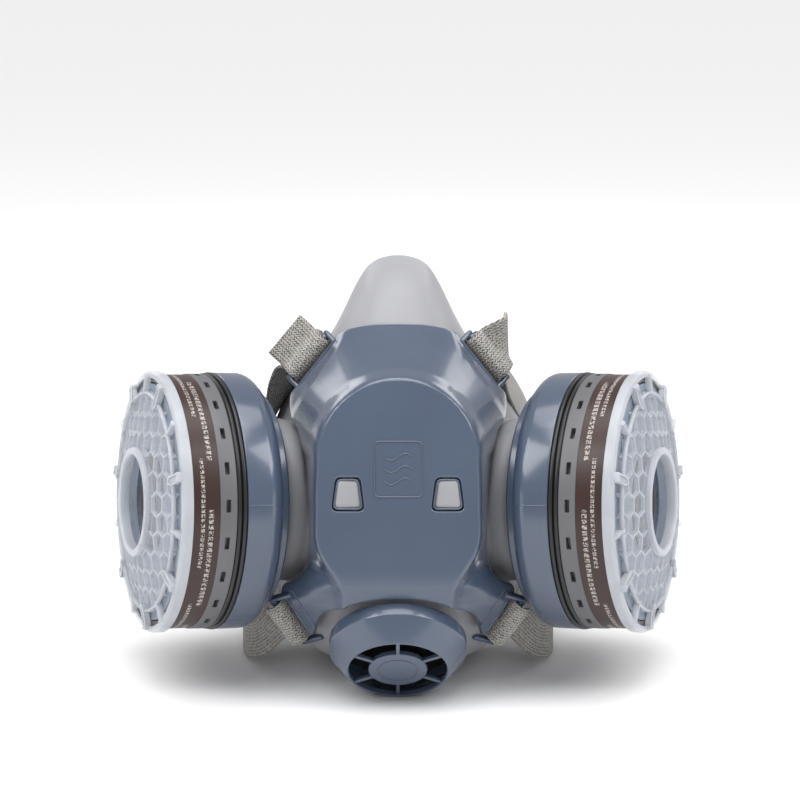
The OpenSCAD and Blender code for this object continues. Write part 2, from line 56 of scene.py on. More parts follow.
AXIS = Vector(joints["right_cartridge_turn"]["axis"])
CUP_AT = Vector(joints["right_cartridge_turn"]["pos_m"]) / MM
LEAN = math.atan2(AXIS.z, -AXIS.y)
SWING = math.acos(AXIS.x)
CUP_Y = 2.0            # holder back, behind the shell's side edges
STAND = (
    Matrix.Scale(MM, 4)
    @ Matrix.Translation((0, CUP_AT.y - CUP_Y * math.cos(LEAN), CUP_AT.z + CUP_Y * math.sin(LEAN)))
    @ Matrix.Rotation(-LEAN, 4, "X")
)
FLIP = Matrix.Scale(-1, 4, (1, 0, 0))         # carries the right side's parts to the left
# a point on the exhalation valve's axis, and how far that axis points down from straight ahead
VALVE_AT = (0, -30, -55.4)
VALVE_TILT = math.radians(52.6)
VALVE_FRAME = Matrix.Translation(VALVE_AT) @ Matrix.Rotation(math.pi / 2 + VALVE_TILT, 4, "X")
CUP_FRAME = (
    Matrix.Translation((CUP_AT.x, CUP_Y, 0))
    @ Matrix.Rotation(-SWING, 4, "Z")
    @ Matrix.Rotation(math.pi / 2, 4, "Y")
)


def on_side(side):
    """The mask's frame on the table for parts of one side, drawn as they are on the right."""
    return STAND @ (FLIP if SIDES[side] < 0 else Matrix.Identity(4))


def side_frame(side):
    """Local +Z is the outward cartridge axis of that side."""
    return on_side(side) @ CUP_FRAME


# ---- mesh helpers ---------------------------------------------------------------------


def placed(name, data):
    """A new object in the scene that holds data."""
    obj = bpy.data.objects.new(name, data)
    bpy.context.scene.collection.objects.link(obj)
    return obj


def smooth(obj, angle=32):
    """Smooth shading with sharp edges where faces meet at more than angle degrees."""
    bm = bmesh.new()
    bm.from_mesh(obj.data)
    bmesh.ops.recalc_face_normals(bm, faces=bm.faces)
    limit = math.radians(angle)
    for face in bm.faces:
        face.smooth = True
    for edge in bm.edges:
        edge.smooth = len(edge.link_faces) == 2 and edge.calc_face_angle() < limit
    bm.to_mesh(obj.data)
    bm.free()
    return obj


def make(name, points, faces, matrix=STAND, angle=32):
    """A mesh object from points in millimetres, placed by matrix."""
    mesh = bpy.data.meshes.new(name)
    mesh.from_pydata([tuple(p) for p in points], [], [tuple(f) for f in faces])
    mesh.transform(matrix)
    return smooth(placed(name, mesh), angle)


def join(name, objects):
    """One object from several, keeping each one's materials."""
    bpy.ops.object.select_all(action="DESELECT")
    for obj in objects:
        obj.select_set(True)
    bpy.context.view_layer.objects.active = objects[0]
    bpy.ops.object.join()
    objects[0].name = name
    return objects[0]


def apply(obj, kind, **settings):
    """Adds a modifier, sets it and applies it."""
    modifier = obj.modifiers.new(kind.lower(), kind)
    for key, value in settings.items():
        setattr(modifier, key, value)
    bpy.context.view_layer.objects.active = obj
    bpy.ops.object.modifier_apply(modifier=modifier.name)
    return obj


def cut(obj, cutters, operation="DIFFERENCE"):
    """Cuts closed meshes out of obj and removes them."""
    for cutter in cutters:
        apply(obj, "BOOLEAN", operation=operation, object=cutter, solver="MANIFOLD")
        bpy.data.objects.remove(cutter)
    return obj


def unit(vectors):
    """An array of vectors, each scaled to length one."""
    return vectors / np.linalg.norm(vectors, axis=-1, keepdims=True)


def run_length(path):
    """Distance along a path at each of its points."""
    return np.concatenate([[0], np.cumsum(np.linalg.norm(np.diff(path, axis=0), axis=1))])


def cubic(a, b, c, d, u):
    """Catmull-Rom value at share u of the way from b to c."""
    bend, twist = 2 * a - 5 * b + 4 * c - d, 3 * b - a - 3 * c + d
    return b + (c - a) * u / 2 + bend * u**2 / 2 + twist * u**3 / 2


def catmull(points, steps, closed=False):
    """Catmull-Rom curve through points, with steps samples a span."""
    p = np.array(points, float)
    count = len(p)
    spans = count if closed else count - 1
    u = (np.arange(steps) / steps).reshape([-1] + [1] * (p.ndim - 1))
    out = []
    for i in range(spans):
        near = [k % count if closed else min(max(k, 0), count - 1) for k in range(i - 1, i + 3)]
        out.append(cubic(*(p[k] for k in near), u))
    if not closed:
        out.append(p[-1:])
    return np.concatenate(out)


def resample(points, step, closed=False):
    """Points evenly spaced by about step along a line."""
    p = np.array(points, float)
    if closed:
        p = np.vstack([p, p[:1]])
    at = run_length(p)
    count = max(int(round(at[-1] / step)), 2)
    where = np.linspace(0, at[-1], count + 1)[: count if closed else None]
    return np.stack([np.interp(where, at, p[:, k]) for k in range(p.shape[1])], 1)


def rounded(profile, steps=5):
    """Points (r, z, fillet) of a closed section with each corner rounded by its fillet radius."""
    out = []
    count = len(profile)
    for i, (r, z, fillet) in enumerate(profile):
        here = np.array((r, z), float)
        if fillet <= 0:
            out.append(here)
            continue
        before = np.array(profile[i - 1][:2], float) - here
        after = np.array(profile[(i + 1) % count][:2], float) - here
        reach = [np.linalg.norm(before), np.linalg.norm(after)]
        before, after = before / reach[0], after / reach[1]
        half = math.acos(max(-1, min(1, float(before @ after)))) / 2
        run = min(fillet / math.tan(half), reach[0] * 0.48, reach[1] * 0.48)
        start, end = here + before * run, here + after * run
        for k in range(steps + 1):
            t = k / steps
            out.append(start * (1 - t) ** 2 + here * 2 * t * (1 - t) + end * t**2)
    return np.array(out)


def lathe(name, profile, matrix, segments=144, angle=32):
    """A closed section (r, z) turned round local Z. Points at r = 0 close onto the axis."""
    section = np.array(profile, float)
    turn = np.arange(segments) * 2 * math.pi / segments
    points, rows = [], []
    for r, z in section:
        if r < 1e-6:
            rows.append([len(points)] * segments)
            points.append((0, 0, z))
        else:
            rows.append(list(range(len(points), len(points) + segments)))
            points += [(r * math.cos(a), r * math.sin(a), z) for a in turn]
    faces = []
    for j in range(len(section)):
        one, two = rows[j], rows[(j + 1) % len(section)]
        for i in range(segments):
            quad = [one[i], one[(i + 1) % segments], two[(i + 1) % segments], two[i]]
            face = [v for k, v in enumerate(quad) if v != quad[k - 1]]
            if len(face) > 2:
                faces.append(face)
    return make(name, points, faces, matrix, angle)


def ring_faces(count, sides, closed=False):
    """Quads between the rings of a mesh whose points come ring after ring."""
    faces = []
    for i in range(count if closed else count - 1):
        here, there = i * sides, (i + 1) % count * sides
        for k in range(sides):
            m = (k + 1) % sides
            faces.append((here + k, here + m, there + m, there + k))
    return faces


def sweep(name, path, section, across, matrix, angle=32, closed=False):
    """A section [(across, through)] swept along path. Its weave attribute holds the distance along
    the path and the place in the section, in millimetres."""
    path, across = np.array(path, float), np.array(across, float)
    count, sides = len(path), len(section)
    if closed:
        along = np.roll(path, -1, 0) - np.roll(path, 1, 0)
    else:
        along = np.gradient(path, axis=0)
    along = unit(along)
    a = unit(across - along * np.sum(across * along, 1)[:, None])
    b = np.cross(along, a)
    length = run_length(path)
    points = [path[i] + a[i] * s[0] + b[i] * s[1] for i in range(count) for s in section]
    faces = ring_faces(count, sides, closed)
    if not closed:
        faces += [tuple(range(sides)), tuple((count - 1) * sides + k for k in reversed(range(sides)))]
    obj = make(name, points, faces, matrix, angle)
    weave = obj.data.attributes.new("weave", "FLOAT_VECTOR", "POINT")
    values = [(length[i], s[0], s[1]) for i in range(count) for s in section]
    weave.data.foreach_set("vector", np.array(values, np.float32).ravel())
    return obj


def bead(r, z, half_wide, half_high, sides=8):
    """Section (r, z) of a small round ring, for lathe."""
    turn = np.radians(np.arange(sides) * 360 / sides)
    return [(r + half_wide * math.cos(a), z + half_high * math.sin(a)) for a in turn]


def tube(name, path, radius, matrix, sides=8, closed=False):
    """A round bar along path."""
    across = np.tile((0.02, 1.0, 0.03), (len(path), 1))      # no path here runs exactly this way
    turn = np.arange(sides) * 2 * math.pi / sides
    section = [(radius * math.cos(t), radius * math.sin(t)) for t in turn]
    return sweep(name, path, section, across, matrix, 60, closed)


def block(name, low, high, matrix, round_by=0.4, segments=3):
    """A box from corner low to corner high with rounded edges."""
    bm = bmesh.new()
    bmesh.ops.create_cube(bm, size=1)
    low, high = Vector(low), Vector(high)
    for v in bm.verts:
        v.co = Vector([(low[k] + high[k]) / 2 + v.co[k] * (high[k] - low[k]) for k in range(3)])
    bmesh.ops.bevel(bm, geom=list(bm.edges), offset=round_by, segments=segments, profile=0.5,
                    affect="EDGES")
    mesh = bpy.data.meshes.new(name)
    bm.to_mesh(mesh)
    bm.free()
    mesh.transform(matrix)
    return smooth(placed(name, mesh), 50)


# ---- materials ------------------------------------------------------------------------


class Shader:
    """A Principled material with short calls for the nodes that give it detail."""

    def __init__(self, name, color, roughness, **sockets):
        self.material = bpy.data.materials.new(name)
        self.material.use_nodes = True
        self.tree = self.material.node_tree
        self.bsdf = self.tree.nodes["Principled BSDF"]
        self.bsdf.inputs["Base Color"].default_value = (*color, 1)
        self.bsdf.inputs["Roughness"].default_value = roughness
        for key, value in sockets.items():
            self.bsdf.inputs[key.replace("_", " ")].default_value = value

    def node(self, kind, **settings):
        made = self.tree.nodes.new("ShaderNode" + kind)
        for key, value in settings.items():
            if key in made.inputs:
                made.inputs[key].default_value = value
            else:
                setattr(made, key, value)
        return made

    def link(self, out, into):
        self.tree.links.new(out, into)
        return into

    def coords(self, attribute=None):
        if attribute:
            return self.node("Attribute", attribute_name=attribute).outputs["Vector"]
        return self.node("TexCoord").outputs["Object"]

    def noise(self, scale, detail=3.0, vector=None, stretch=None):
        """Noise in object space; scale is in features a metre."""
        made = self.node("TexNoise", Scale=scale, Detail=detail)
        vector = vector or self.coords()
        if stretch:
            mapping = self.node("Mapping", Scale=stretch)
            self.link(vector, mapping.inputs["Vector"])
            vector = mapping.outputs["Vector"]
        self.link(vector, made.inputs["Vector"])
        return made.outputs["Fac"]

    def math(self, operation, a, b=None, c=None):
        made = self.node("Math", operation=operation)
        for k, value in enumerate((a, b, c)):
            if value is None:
                continue
            if isinstance(value, (int, float)):
                made.inputs[k].default_value = value
            else:
                self.link(value, made.inputs[k])
        return made.outputs[0]

    def ramp(self, value, stops):
        """Colour from value through (position, colour) stops."""
        made = self.node("ValToRGB")
        self.link(value, made.inputs["Fac"])
        elements = made.color_ramp.elements
        while len(elements) < len(stops):
            elements.new(0.5)
        for element, (position, color) in zip(elements, stops):
            element.position = position
            element.color = (*color, 1)
        return made.outputs["Color"]

    def color(self, out):
        self.link(out, self.bsdf.inputs["Base Color"])
        return self

    def rough(self, value, low, high):
        made = self.node("MapRange")
        made.inputs["To Min"].default_value = low
        made.inputs["To Max"].default_value = high
        self.link(value, made.inputs["Value"])
        self.link(made.outputs["Result"], self.bsdf.inputs["Roughness"])
        return self

    def bump(self, height, distance, strength=1.0):
        made = self.node("Bump", Strength=strength, Distance=distance)
        self.link(height, made.inputs["Height"])
        self.link(made.outputs["Normal"], self.bsdf.inputs["Normal"])
        return self


def shade(color, factor):
    return tuple(min(c * factor, 1) for c in color)


def moulded(name, color, roughness, grain=0.00001, spread=0.06, **sockets):
    """Moulded plastic or rubber: faint mottling, uneven gloss and a fine surface grain."""
    s = Shader(name, color, roughness, **sockets)
    mottle = s.noise(55, 4)
    s.color(s.ramp(mottle, [(0.3, shade(color, 1 - spread)), (0.7, shade(color, 1 + spread))]))
    s.rough(s.noise(160, 5), roughness * 0.8, roughness * 1.25)
    s.bump(s.noise(2600, 2), grain, 0.5)
    return s.material


def gloss_blue():
    """Glossy blue-grey shell plastic with a slight orange-peel."""
    color = (0.06, 0.082, 0.128)
    s = Shader("gloss_blue", color, 0.2, Specular_IOR_Level=0.55, Coat_Weight=0.5,
               Coat_Roughness=0.1)
    s.color(s.ramp(s.noise(38, 3), [(0.25, shade(color, 0.94)), (0.75, shade(color, 1.07))]))
    s.rough(s.noise(240, 5), 0.16, 0.27)
    s.bump(s.noise(420, 2), 0.00001, 0.12)
    return s.material


def silicone_rubber():
    """Soft light grey silicone with a matte skin."""
    color = (0.295, 0.296, 0.316)
    s = Shader("silicone_rubber", color, 0.46, Specular_IOR_Level=0.42, Subsurface_Weight=0.12,
               Subsurface_Radius=(1.0, 0.8, 0.6), Subsurface_Scale=0.002,
               Sheen_Weight=0.12, Sheen_Roughness=0.5)
    s.color(s.ramp(s.noise(48, 4), [(0.25, shade(color, 0.93)), (0.75, shade(color, 1.06))]))
    s.rough(s.noise(300, 4), 0.4, 0.54)
    s.bump(s.noise(1500, 3), 0.00003, 0.35)
    return s.material


def webbing_weave():
    """Grey twill webbing: zigzag ribs with a little fuzz. The colour follows the weave's height: painted
    shade makes the grooves between the ribs near black, and a painted highlight lightens the ribs' tops.
    """
    light, painted_groove_shade = (0.42, 0.4, 0.37), (0.05, 0.047, 0.044)
    rib, yarn, zigzag, slope = 1.15, 1.1, 2.2, 1.3      # spacings in millimetres, then the ribs' slant
    s = Shader("webbing_weave", light, 0.86, Sheen_Weight=0.25, Sheen_Roughness=0.6,
               Specular_IOR_Level=0.25)
    axes = s.node("SeparateXYZ")
    s.link(s.coords("weave"), axes.inputs[0])
    along, across = axes.outputs["X"], axes.outputs["Y"]
    fold = s.math("ABSOLUTE", s.math("SUBTRACT", s.math("WRAP", across, zigzag, 0.0), zigzag / 2))
    slant = s.math("ADD", along, s.math("MULTIPLY", fold, slope))
    ribs = s.math("SINE", s.math("MULTIPLY", slant, 2 * math.pi / rib))
    yarns = s.math("SINE", s.math("MULTIPLY", across, 2 * math.pi / yarn))
    height = s.math("ADD", s.math("MULTIPLY", ribs, 0.5), s.math("MULTIPLY", yarns, 0.35))
    fuzz = s.noise(900, 4)
    mixed = s.math("ADD", s.math("MULTIPLY", height, 0.5), fuzz)
    # painted shade in the grooves between the ribs and painted highlight on the ribs' tops, both
    # following the weave's height
    s.color(s.ramp(mixed, [(0.1, painted_groove_shade), (0.42, shade(light, 0.72)), (0.85, shade(light, 1.25))]))
    s.bump(s.math("ADD", height, s.math("MULTIPLY", fuzz, 0.6)), 0.00022, 0.9)
    return s.material


def frosted(name, alpha, color=(0.66, 0.7, 0.76)):
    """Frosted translucent plastic; alpha is how much of it hides what is behind."""
    s = Shader(name, color, 0.3, Alpha=alpha, Specular_IOR_Level=0.5, Coat_Weight=0.2,
               Coat_Roughness=0.25, Subsurface_Weight=0.2, Subsurface_Radius=(1.0, 1.0, 1.0),
               Subsurface_Scale=0.002)
    s.color(s.ramp(s.noise(120, 4), [(0.3, shade(color, 0.95)), (0.7, shade(color, 1.05))]))
    s.rough(s.noise(500, 3), 0.24, 0.4)
    s.bump(s.noise(2200, 3), 0.00002, 0.3)
    return s.material


# rows of marks on the label: share of the band's height, then half height and spacing in metres
LABEL_ROWS = [(0.33, 0.00085, 0.0019), (0.64, 0.00065, 0.0016)]
# a group of marks with its gap, the gap alone, and how far the second row is shifted, in metres
LABEL_GROUP, LABEL_GAP, ROW_SHIFT = 0.053, 0.016, 0.017


def label_film(low, high):
    """Brown film with two rows of small pale marks that stand for its print and spell nothing.
    low and high are the band's edges along the cartridge axis, in metres."""
    brown, pale = (0.035, 0.016, 0.013), (0.5, 0.47, 0.44)
    s = Shader("label_film", brown, 0.34, Specular_IOR_Level=0.35, Coat_Weight=0.15,
               Coat_Roughness=0.2)
    axes = s.node("SeparateXYZ")
    s.link(s.coords("wrap"), axes.inputs[0])
    turn, height = axes.outputs["X"], axes.outputs["Y"]
    marks = s.math("GREATER_THAN", s.noise(1900, 1), 0.47)
    rows = None
    for row, (place, size, period) in enumerate(LABEL_ROWS):
        off_middle = s.math("ABSOLUTE", s.math("SUBTRACT", height, low + (high - low) * place))
        band = s.math("LESS_THAN", off_middle, size)
        dash = s.math("LESS_THAN", s.math("WRAP", turn, period, 0.0), period * 0.72)
        shifted = s.math("ADD", turn, ROW_SHIFT * row)
        group = s.math("GREATER_THAN", s.math("WRAP", shifted, LABEL_GROUP, 0.0), LABEL_GAP)
        one = s.math("MULTIPLY", s.math("MULTIPLY", band, dash), s.math("MULTIPLY", group, marks))
        rows = one if rows is None else s.math("MAXIMUM", rows, one)
    worn = s.math("MULTIPLY", rows, s.noise(2500, 3))
    s.color(s.ramp(worn, [(0.0, brown), (0.62, pale)]))
    s.rough(s.noise(300, 4), 0.28, 0.42)
    s.bump(s.noise(900, 3), 0.00001, 0.4)
    return s.material


def fleece():
    """Pressed filter fleece with fine fibres."""
    color = (0.17, 0.21, 0.28)
    s = Shader("fleece", color, 0.9, Sheen_Weight=0.3)
    fibres = s.noise(1800, 5, stretch=(1.0, 1.0, 0.25))
    s.color(s.ramp(fibres, [(0.3, shade(color, 0.75)), (0.7, shade(color, 1.3))]))
    s.bump(fibres, 0.0002, 0.7)
    return s.material


def carbon_bed():
    """Dark granular carbon."""
    s = Shader("carbon_bed", (0.06, 0.06, 0.065), 0.7)
    cells = s.node("TexVoronoi", Scale=900.0)
    s.link(s.coords(), cells.inputs["Vector"])
    grains = [(0.0, (0.1, 0.1, 0.105)), (0.8, (0.03, 0.03, 0.033))]
    s.color(s.ramp(cells.outputs["Distance"], grains))
    s.bump(cells.outputs["Distance"], 0.0004, 0.8)
    return s.material


def paint(obj, material):
    """Shows all of obj in one material."""
    obj.data.materials.clear()
    obj.data.materials.append(material)
    return obj


def piece(obj, material, body, node):
    """Gives a finished piece its body and, where it isn't painted yet, its material, and hides the
    CAD node that it stands for."""
    if material:
        paint(obj, material)
    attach(obj, body)
    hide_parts(node)


# ---- front shell ----------------------------------------------------------------------

SHELL_T = 2.4
PANEL_Y = [(-52, -33), (-45, -35.5), (-38, -38), (-33, -40.5), (-30, -42.5), (-27, -44.8),
           (-15, -45.5), (0, -45.6), (15, -45), (30, -43.5), (41, -41.5), (50, -40), (64, -38)]
PANEL_X = [(-52, 17), (-28, 17.4), (-14, 25.6), (0, 26.4), (15, 26)]
PANEL_R, PANEL_TOP = 26, 15
EDGE_X = [(-52, 33), (-46, 35), (-36, 40), (-29, 40), (-22, 33), (-12, 30.6), (0, 31), (15, 32.2)]
EDGE_Y = [(-52, -4), (-46, -5), (-36, -10), (-29, -13), (-22, -18), (-12, -20), (0, -18), (15, -13)]
EDGE_R = [(0, 45.8), (20, 47), (30, 47.3), (45, 45.6), (57, 44.8), (68, 40.5), (76, 37), (90, 32.2)]
EDGE_D = [(0, -12), (20, -9), (30, -6), (45, -3.5), (57, -2.5), (68, -3), (76, -6), (90, -13)]
RAISE, BEVEL, SOFT = 2.6, 4.6, 2.2        # SOFT rounds the turn from the panel to the sides
# half width of the middle of the shell against height, inside its lowered shoulders
SHOULDER_X = [(20, 42), (31, 34.6), (39, 29.6), (46.5, 24.2), (54, 19.6), (60, 17.6)]
SHOULDER_DROP, SHOULDER_W = 1.2, 2.2
# half of the outline: top edge, slot notch, side, lower slot notch, valve arch
OUTLINE = [(0, 60.8), (9, 60.5), (15.3, 59.6), (18.6, 58.6), (20.8, 57.6), (22.1, 55.6), (23.6, 53.0),
           (33.2, 41.6), (35.0, 39.6), (37.4, 36.8), (37.8, 33), (37.6, 30), (36.6, 27), (34.8, 24.8),
           (33.4, 20), (32, 13.5), (30.9, 1), (30.3, -12), (30.8, -19), (32.6, -23.5), (35.6, -26.2),
           (38.8, -27.4), (40, -29.6), (39.6, -32.0), (37.9, -34.1), (30.8, -44.8), (29.0, -44.2),
           (27.4, -39.4), (24.5, -36.3), (19.5, -34.9), (15, -33), (8, -31.5), (0, -31)]
WINDOW_AT = (16.3, 3.8)
WINDOW = [(-5.25, -5.3), (5.25, -5.3), (3.9, 5.3), (-3.9, 5.3)]
MESH_STEP, WINDOW_STEP = 0.85, 0.5
GRID_X, GRID_LOW, GRID_HIGH = 41, -52, 62      # the mesh grid's half width, bottom and top
EDGE_RINGS = (0.12, 0.32, 0.62, 1.05)          # how far in from each edge rings of points lie
RING_GAP, GRID_GAP = 0.1, 1.5                  # least distance of ring and grid points to an edge
FRONT_EDGE, BACK_EDGE = 0.9, 0.5               # edge radii


def ease(u):
    """Smooth step from 0 to 1."""
    u = np.clip(u, 0, 1)
    return u * u * (3 - 2 * u)


def eased(table, x):
    """Catmull-Rom value from a table of rising (position, value) pairs."""
    t = np.array(table, float)
    at, value = t[:, 0], t[:, 1]
    i = np.clip(np.searchsorted(at, x) - 1, 0, len(at) - 2)
    u = np.clip((x - at[i]) / (at[i + 1] - at[i]), 0, 1)
    before, after = np.maximum(i - 1, 0), np.minimum(i + 2, len(at) - 1)
    return cubic(value[before], value[i], value[i + 1], value[after], u)


def shell_y(x, z):
    """Depth of the shell's outer face: a raised middle panel, a bevel round it and curved sides."""
    x, z = np.abs(np.asarray(x, float)), np.asarray(z, float)
    up = z > PANEL_TOP
    turn = np.where(up, np.degrees(np.arctan2(x, np.maximum(z - PANEL_TOP, 1e-6))), 90)
    start = np.where(up, PANEL_R, eased(PANEL_X, z))
    stop = np.where(up, eased(EDGE_R, turn), eased(EDGE_X, z))
    far = np.where(up, eased(EDGE_D, turn), eased(EDGE_Y, z))
    out = np.maximum(0, np.where(up, np.hypot(x, z - PANEL_TOP), x) - start)
    near = eased(PANEL_Y, z) + 0.0015 * x * x
    part = (np.hypot(out, SOFT) - SOFT) / (np.hypot(stop - start, SOFT) - SOFT)
    bend = 1 - 0.08 * ease((z - 8) / 16)        # the upper sides fall back a little sooner
    depth = near + RAISE * ease(out / BEVEL) + (far - near - RAISE) * part**bend
    return depth + SHOULDER_DROP * ease((x - eased(SHOULDER_X, z)) / SHOULDER_W) * (z > SHOULDER_X[0][0])


def shell_normal(x, z, step=0.4):
    """Outward unit normal of shell_y's face."""
    slope_x = (shell_y(x + step, z) - shell_y(x - step, z)) / (2 * step)
    slope_z = (shell_y(x, z + step) - shell_y(x, z - step)) / (2 * step)
    normal = np.stack([slope_x, -np.ones_like(slope_x), slope_z], 1)
    return unit(normal)


def outline_loop(step):
    """The shell's outline (x, z), evenly spaced."""
    half = catmull(OUTLINE, 6)
    return resample(np.vstack([half, half[-2:0:-1] * (-1, 1)]), step, closed=True)


def window_loop(way, inset=0.0):
    """The window's outline (x, z) on the left (-1) or right (1)."""
    corners = [(x - math.copysign(inset, x), z - math.copysign(inset, z), 1.5) for x, z in WINDOW]
    return resample(rounded(corners, 6), WINDOW_STEP, closed=True) + (way * WINDOW_AT[0], WINDOW_AT[1])


def inside(points, loop):
    """Which points lie in a closed loop."""
    a, b = loop, np.roll(loop, -1, 0)
    x, z = points[:, 0:1], points[:, 1:2]
    crosses = (a[:, 1] > z) != (b[:, 1] > z)
    rise = np.where(b[:, 1] == a[:, 1], 1, b[:, 1] - a[:, 1])
    at = a[:, 0] + (z - a[:, 1]) * (b[:, 0] - a[:, 0]) / rise
    return (np.sum(crosses & (x < at), 1) % 2) == 1


def distance(points, loop):
    """Distance from each point to a closed loop."""
    a, d = loop, np.roll(loop, -1, 0) - loop
    span = np.sum(d * d, 1)
    best = np.full(len(points), 1e9)
    for i in range(len(a)):
        t = np.clip(((points - a[i]) @ d[i]) / span[i], 0, 1)
        best = np.minimum(best, np.linalg.norm(points - a[i] - t[:, None] * d[i], axis=1))
    return best


def inner_loops(loop, inward, depths):
    """Copies of a loop moved to its material side, for a fine rounded edge."""
    along = np.roll(loop, -1, 0) - np.roll(loop, 1, 0)
    normal = unit(np.stack([along[:, 1], -along[:, 0]], 1))
    return [loop + normal * d * inward for d in depths]


def quarter(d, radius):
    """How far a surface drops below its full height at distance d from a rounded edge."""
    left = np.clip(radius - d, 0, radius)
    return radius - np.sqrt(radius**2 - left**2)


def on_sheet(points, loops):
    """Which points lie within the outline and outside both windows."""
    return inside(points, loops[0]) & ~inside(points, loops[1]) & ~inside(points, loops[2])


def edge_distance(points, loops):
    """Distance from each point to the nearest of the loops."""
    return np.min([distance(points, loop) for loop in loops], 0)


def sheet_points(loops):
    """Points inside the sheet: a staggered grid, and rings that follow every edge."""
    rows = np.arange(GRID_LOW, GRID_HIGH + 0.01, MESH_STEP * 0.87)
    columns = np.arange(-GRID_X, GRID_X + 0.01, MESH_STEP)
    grid = np.array([(x + 0.5 * MESH_STEP * (k % 2), z) for k, z in enumerate(rows) for x in columns])
    kept = [grid[edge_distance(grid, loops) > GRID_GAP]]
    for own, loop in enumerate(loops):
        others = loops[:own] + loops[own + 1:]
        probe = inner_loops(loop, 1, [0.3])[0]
        material_side = inside(probe, loop).mean() > 0.5
        inward = 1 if material_side == (own == 0) else -1
        for ring in inner_loops(loop, inward, EDGE_RINGS):
            clear = np.minimum(edge_distance(ring, others), distance(ring, loop) * 1.6)
            kept.append(ring[clear > RING_GAP])
    free = np.vstack(kept)
    return free[on_sheet(free, loops)]


def open_edges(triangles):
    """Directed edges that only one triangle has."""
    seen = {}
    for tri in triangles:
        for k in range(3):
            pair = (int(tri[k]), int(tri[(k + 1) % 3]))
            if pair[::-1] in seen:
                seen.pop(pair[::-1])
            else:
                seen[pair] = True
    return seen


def shell_sheet():
    """The shell's curved sheet with its windows, rounded along every edge."""
    loops = [outline_loop(MESH_STEP), window_loop(-1), window_loop(1)]
    edges, base = [], 0
    for loop in loops:
        edges += [(base + i, base + (i + 1) % len(loop)) for i in range(len(loop))]
        base += len(loop)
    points = [Vector(p) for p in np.vstack(loops + [sheet_points(loops)])]
    flat, _, triangles, _, _, _ = delaunay_2d_cdt(points, edges, [], 0, 1e-6)
    flat = np.array([tuple(p) for p in flat])
    triangles = np.array(triangles)
    triangles = triangles[on_sheet(flat[triangles].mean(1), loops)]
    x, z = flat[:, 0], flat[:, 1]
    edge_at = edge_distance(flat, loops)
    skin = np.stack([x, shell_y(x, z), z], 1)
    normal = shell_normal(x, z)
    front = skin - normal * quarter(edge_at, FRONT_EDGE)[:, None]
    back = skin - normal * (SHELL_T - quarter(edge_at, BACK_EDGE))[:, None]
    count = len(flat)
    faces = [tuple(int(v) for v in t) for t in triangles]
    faces += [tuple(int(v) + count for v in t[::-1]) for t in triangles]
    faces += [(a, b, b + count, a + count) for a, b in open_edges(triangles)]
    sheet = make("shell_sheet", np.vstack([front, back]), faces, STAND, 50)
    # exact normals keep the steep sides of the glossy face free of ripples
    exact = np.zeros((2 * count, 3))
    smooth_front = edge_at[:, None] > FRONT_EDGE + 0.2
    exact[:count] = np.where(smooth_front, normal, 0) @ np.array(STAND.to_3x3().normalized()).T
    sheet.data.normals_split_custom_set_from_vertices([tuple(n) for n in exact])
    return sheet


# a slot bar: its middle, the direction along it, the direction away from the mask, and how
# far its posts reach back
BARS = {
    "upper": ((30.6, -2.2, 49.6), (-0.638, -0.178, 0.749), (0.6, 0.5, 0.63), 7.0),
    "lower": ((37.2, -8.0, -40.6), (-0.52, 0.42, -0.744), (0.62, 0.62, -0.45), 8.0),
}
BAR_HALF, WEB_W, WEB_T = 1.3, 17.5, 1.4
SLOT_HALF, POST = (WEB_W + 1) / 2, 1.7


def bar_frame(level):
    """Local +X points away from the mask, +Y to its front and +Z along the bar."""
    middle, along, away, _ = BARS[level]
    u = Vector(along).normalized()
    a = Vector(away)
    a = (a - u * a.dot(u)).normalized()
    n = u.cross(a)
    if n.y > 0:
        n = -n
    frame_matrix = Matrix((a, n, u)).transposed().to_4x4()
    frame_matrix.translation = Vector(middle)
    return frame_matrix


def slot_parts(side):
    """Posts and bar of both strap slots on one side."""
    parts = []
    for level, (_, _, _, inner) in BARS.items():
        place = on_side(side) @ bar_frame(level)
        for way in (-1, 1):
            near, far = sorted((way * SLOT_HALF, way * (SLOT_HALF + POST)))
            parts.append(block("post", (-inner, -BAR_HALF, near), (BAR_HALF, BAR_HALF, far), place, 0.6))
        end = SLOT_HALF + 0.5
        parts.append(block("bar", (-BAR_HALF, -BAR_HALF, -end), (BAR_HALF, BAR_HALF, end), place, 0.7))
    return parts


def on_shell(points, proud=0.05):
    """Points (x, z) laid on the shell's face."""
    p = np.array(points, float)
    skin = np.stack([p[:, 0], shell_y(p[:, 0], p[:, 1]), p[:, 1]], 1)
    return skin + shell_normal(p[:, 0], p[:, 1]) * proud


BADGE = (-7.6, 3.0, 7.9, 21.0)      # left, bottom, right and top of the moulded badge frame


def badge():
    """Moulded badge: a rounded frame with three plain airflow lines in it."""
    left, bottom, right, top = BADGE
    corners = [(x, z, 1.6) for x, z in ((left, bottom), (right, bottom), (right, top), (left, top))]
    outline = resample(rounded(corners, 6), 0.5, closed=True)
    parts = [tube("frame", on_shell(outline), 0.26, STAND, 8, True)]
    middle = (left + right) / 2
    for k in range(3):
        z = bottom + 5 + 4 * k
        s = np.linspace(-1, 1, 36)
        line = np.stack([middle + s * 4.6, z + 1.1 * np.sin(s * math.pi)], 1)
        parts.append(tube("airflow", on_shell(line), 0.24, STAND))
    return parts


# moulded ridges that run beside the strap slots: end points (x, z) and half their width
RIDGES = [((38.2, -31.6), (30.4, -43.0), 0.3), ((36.0, -29.6), (27.8, -41.6), 0.26),
          ((21.4, 55.2), (34.0, 39.6), 0.3)]


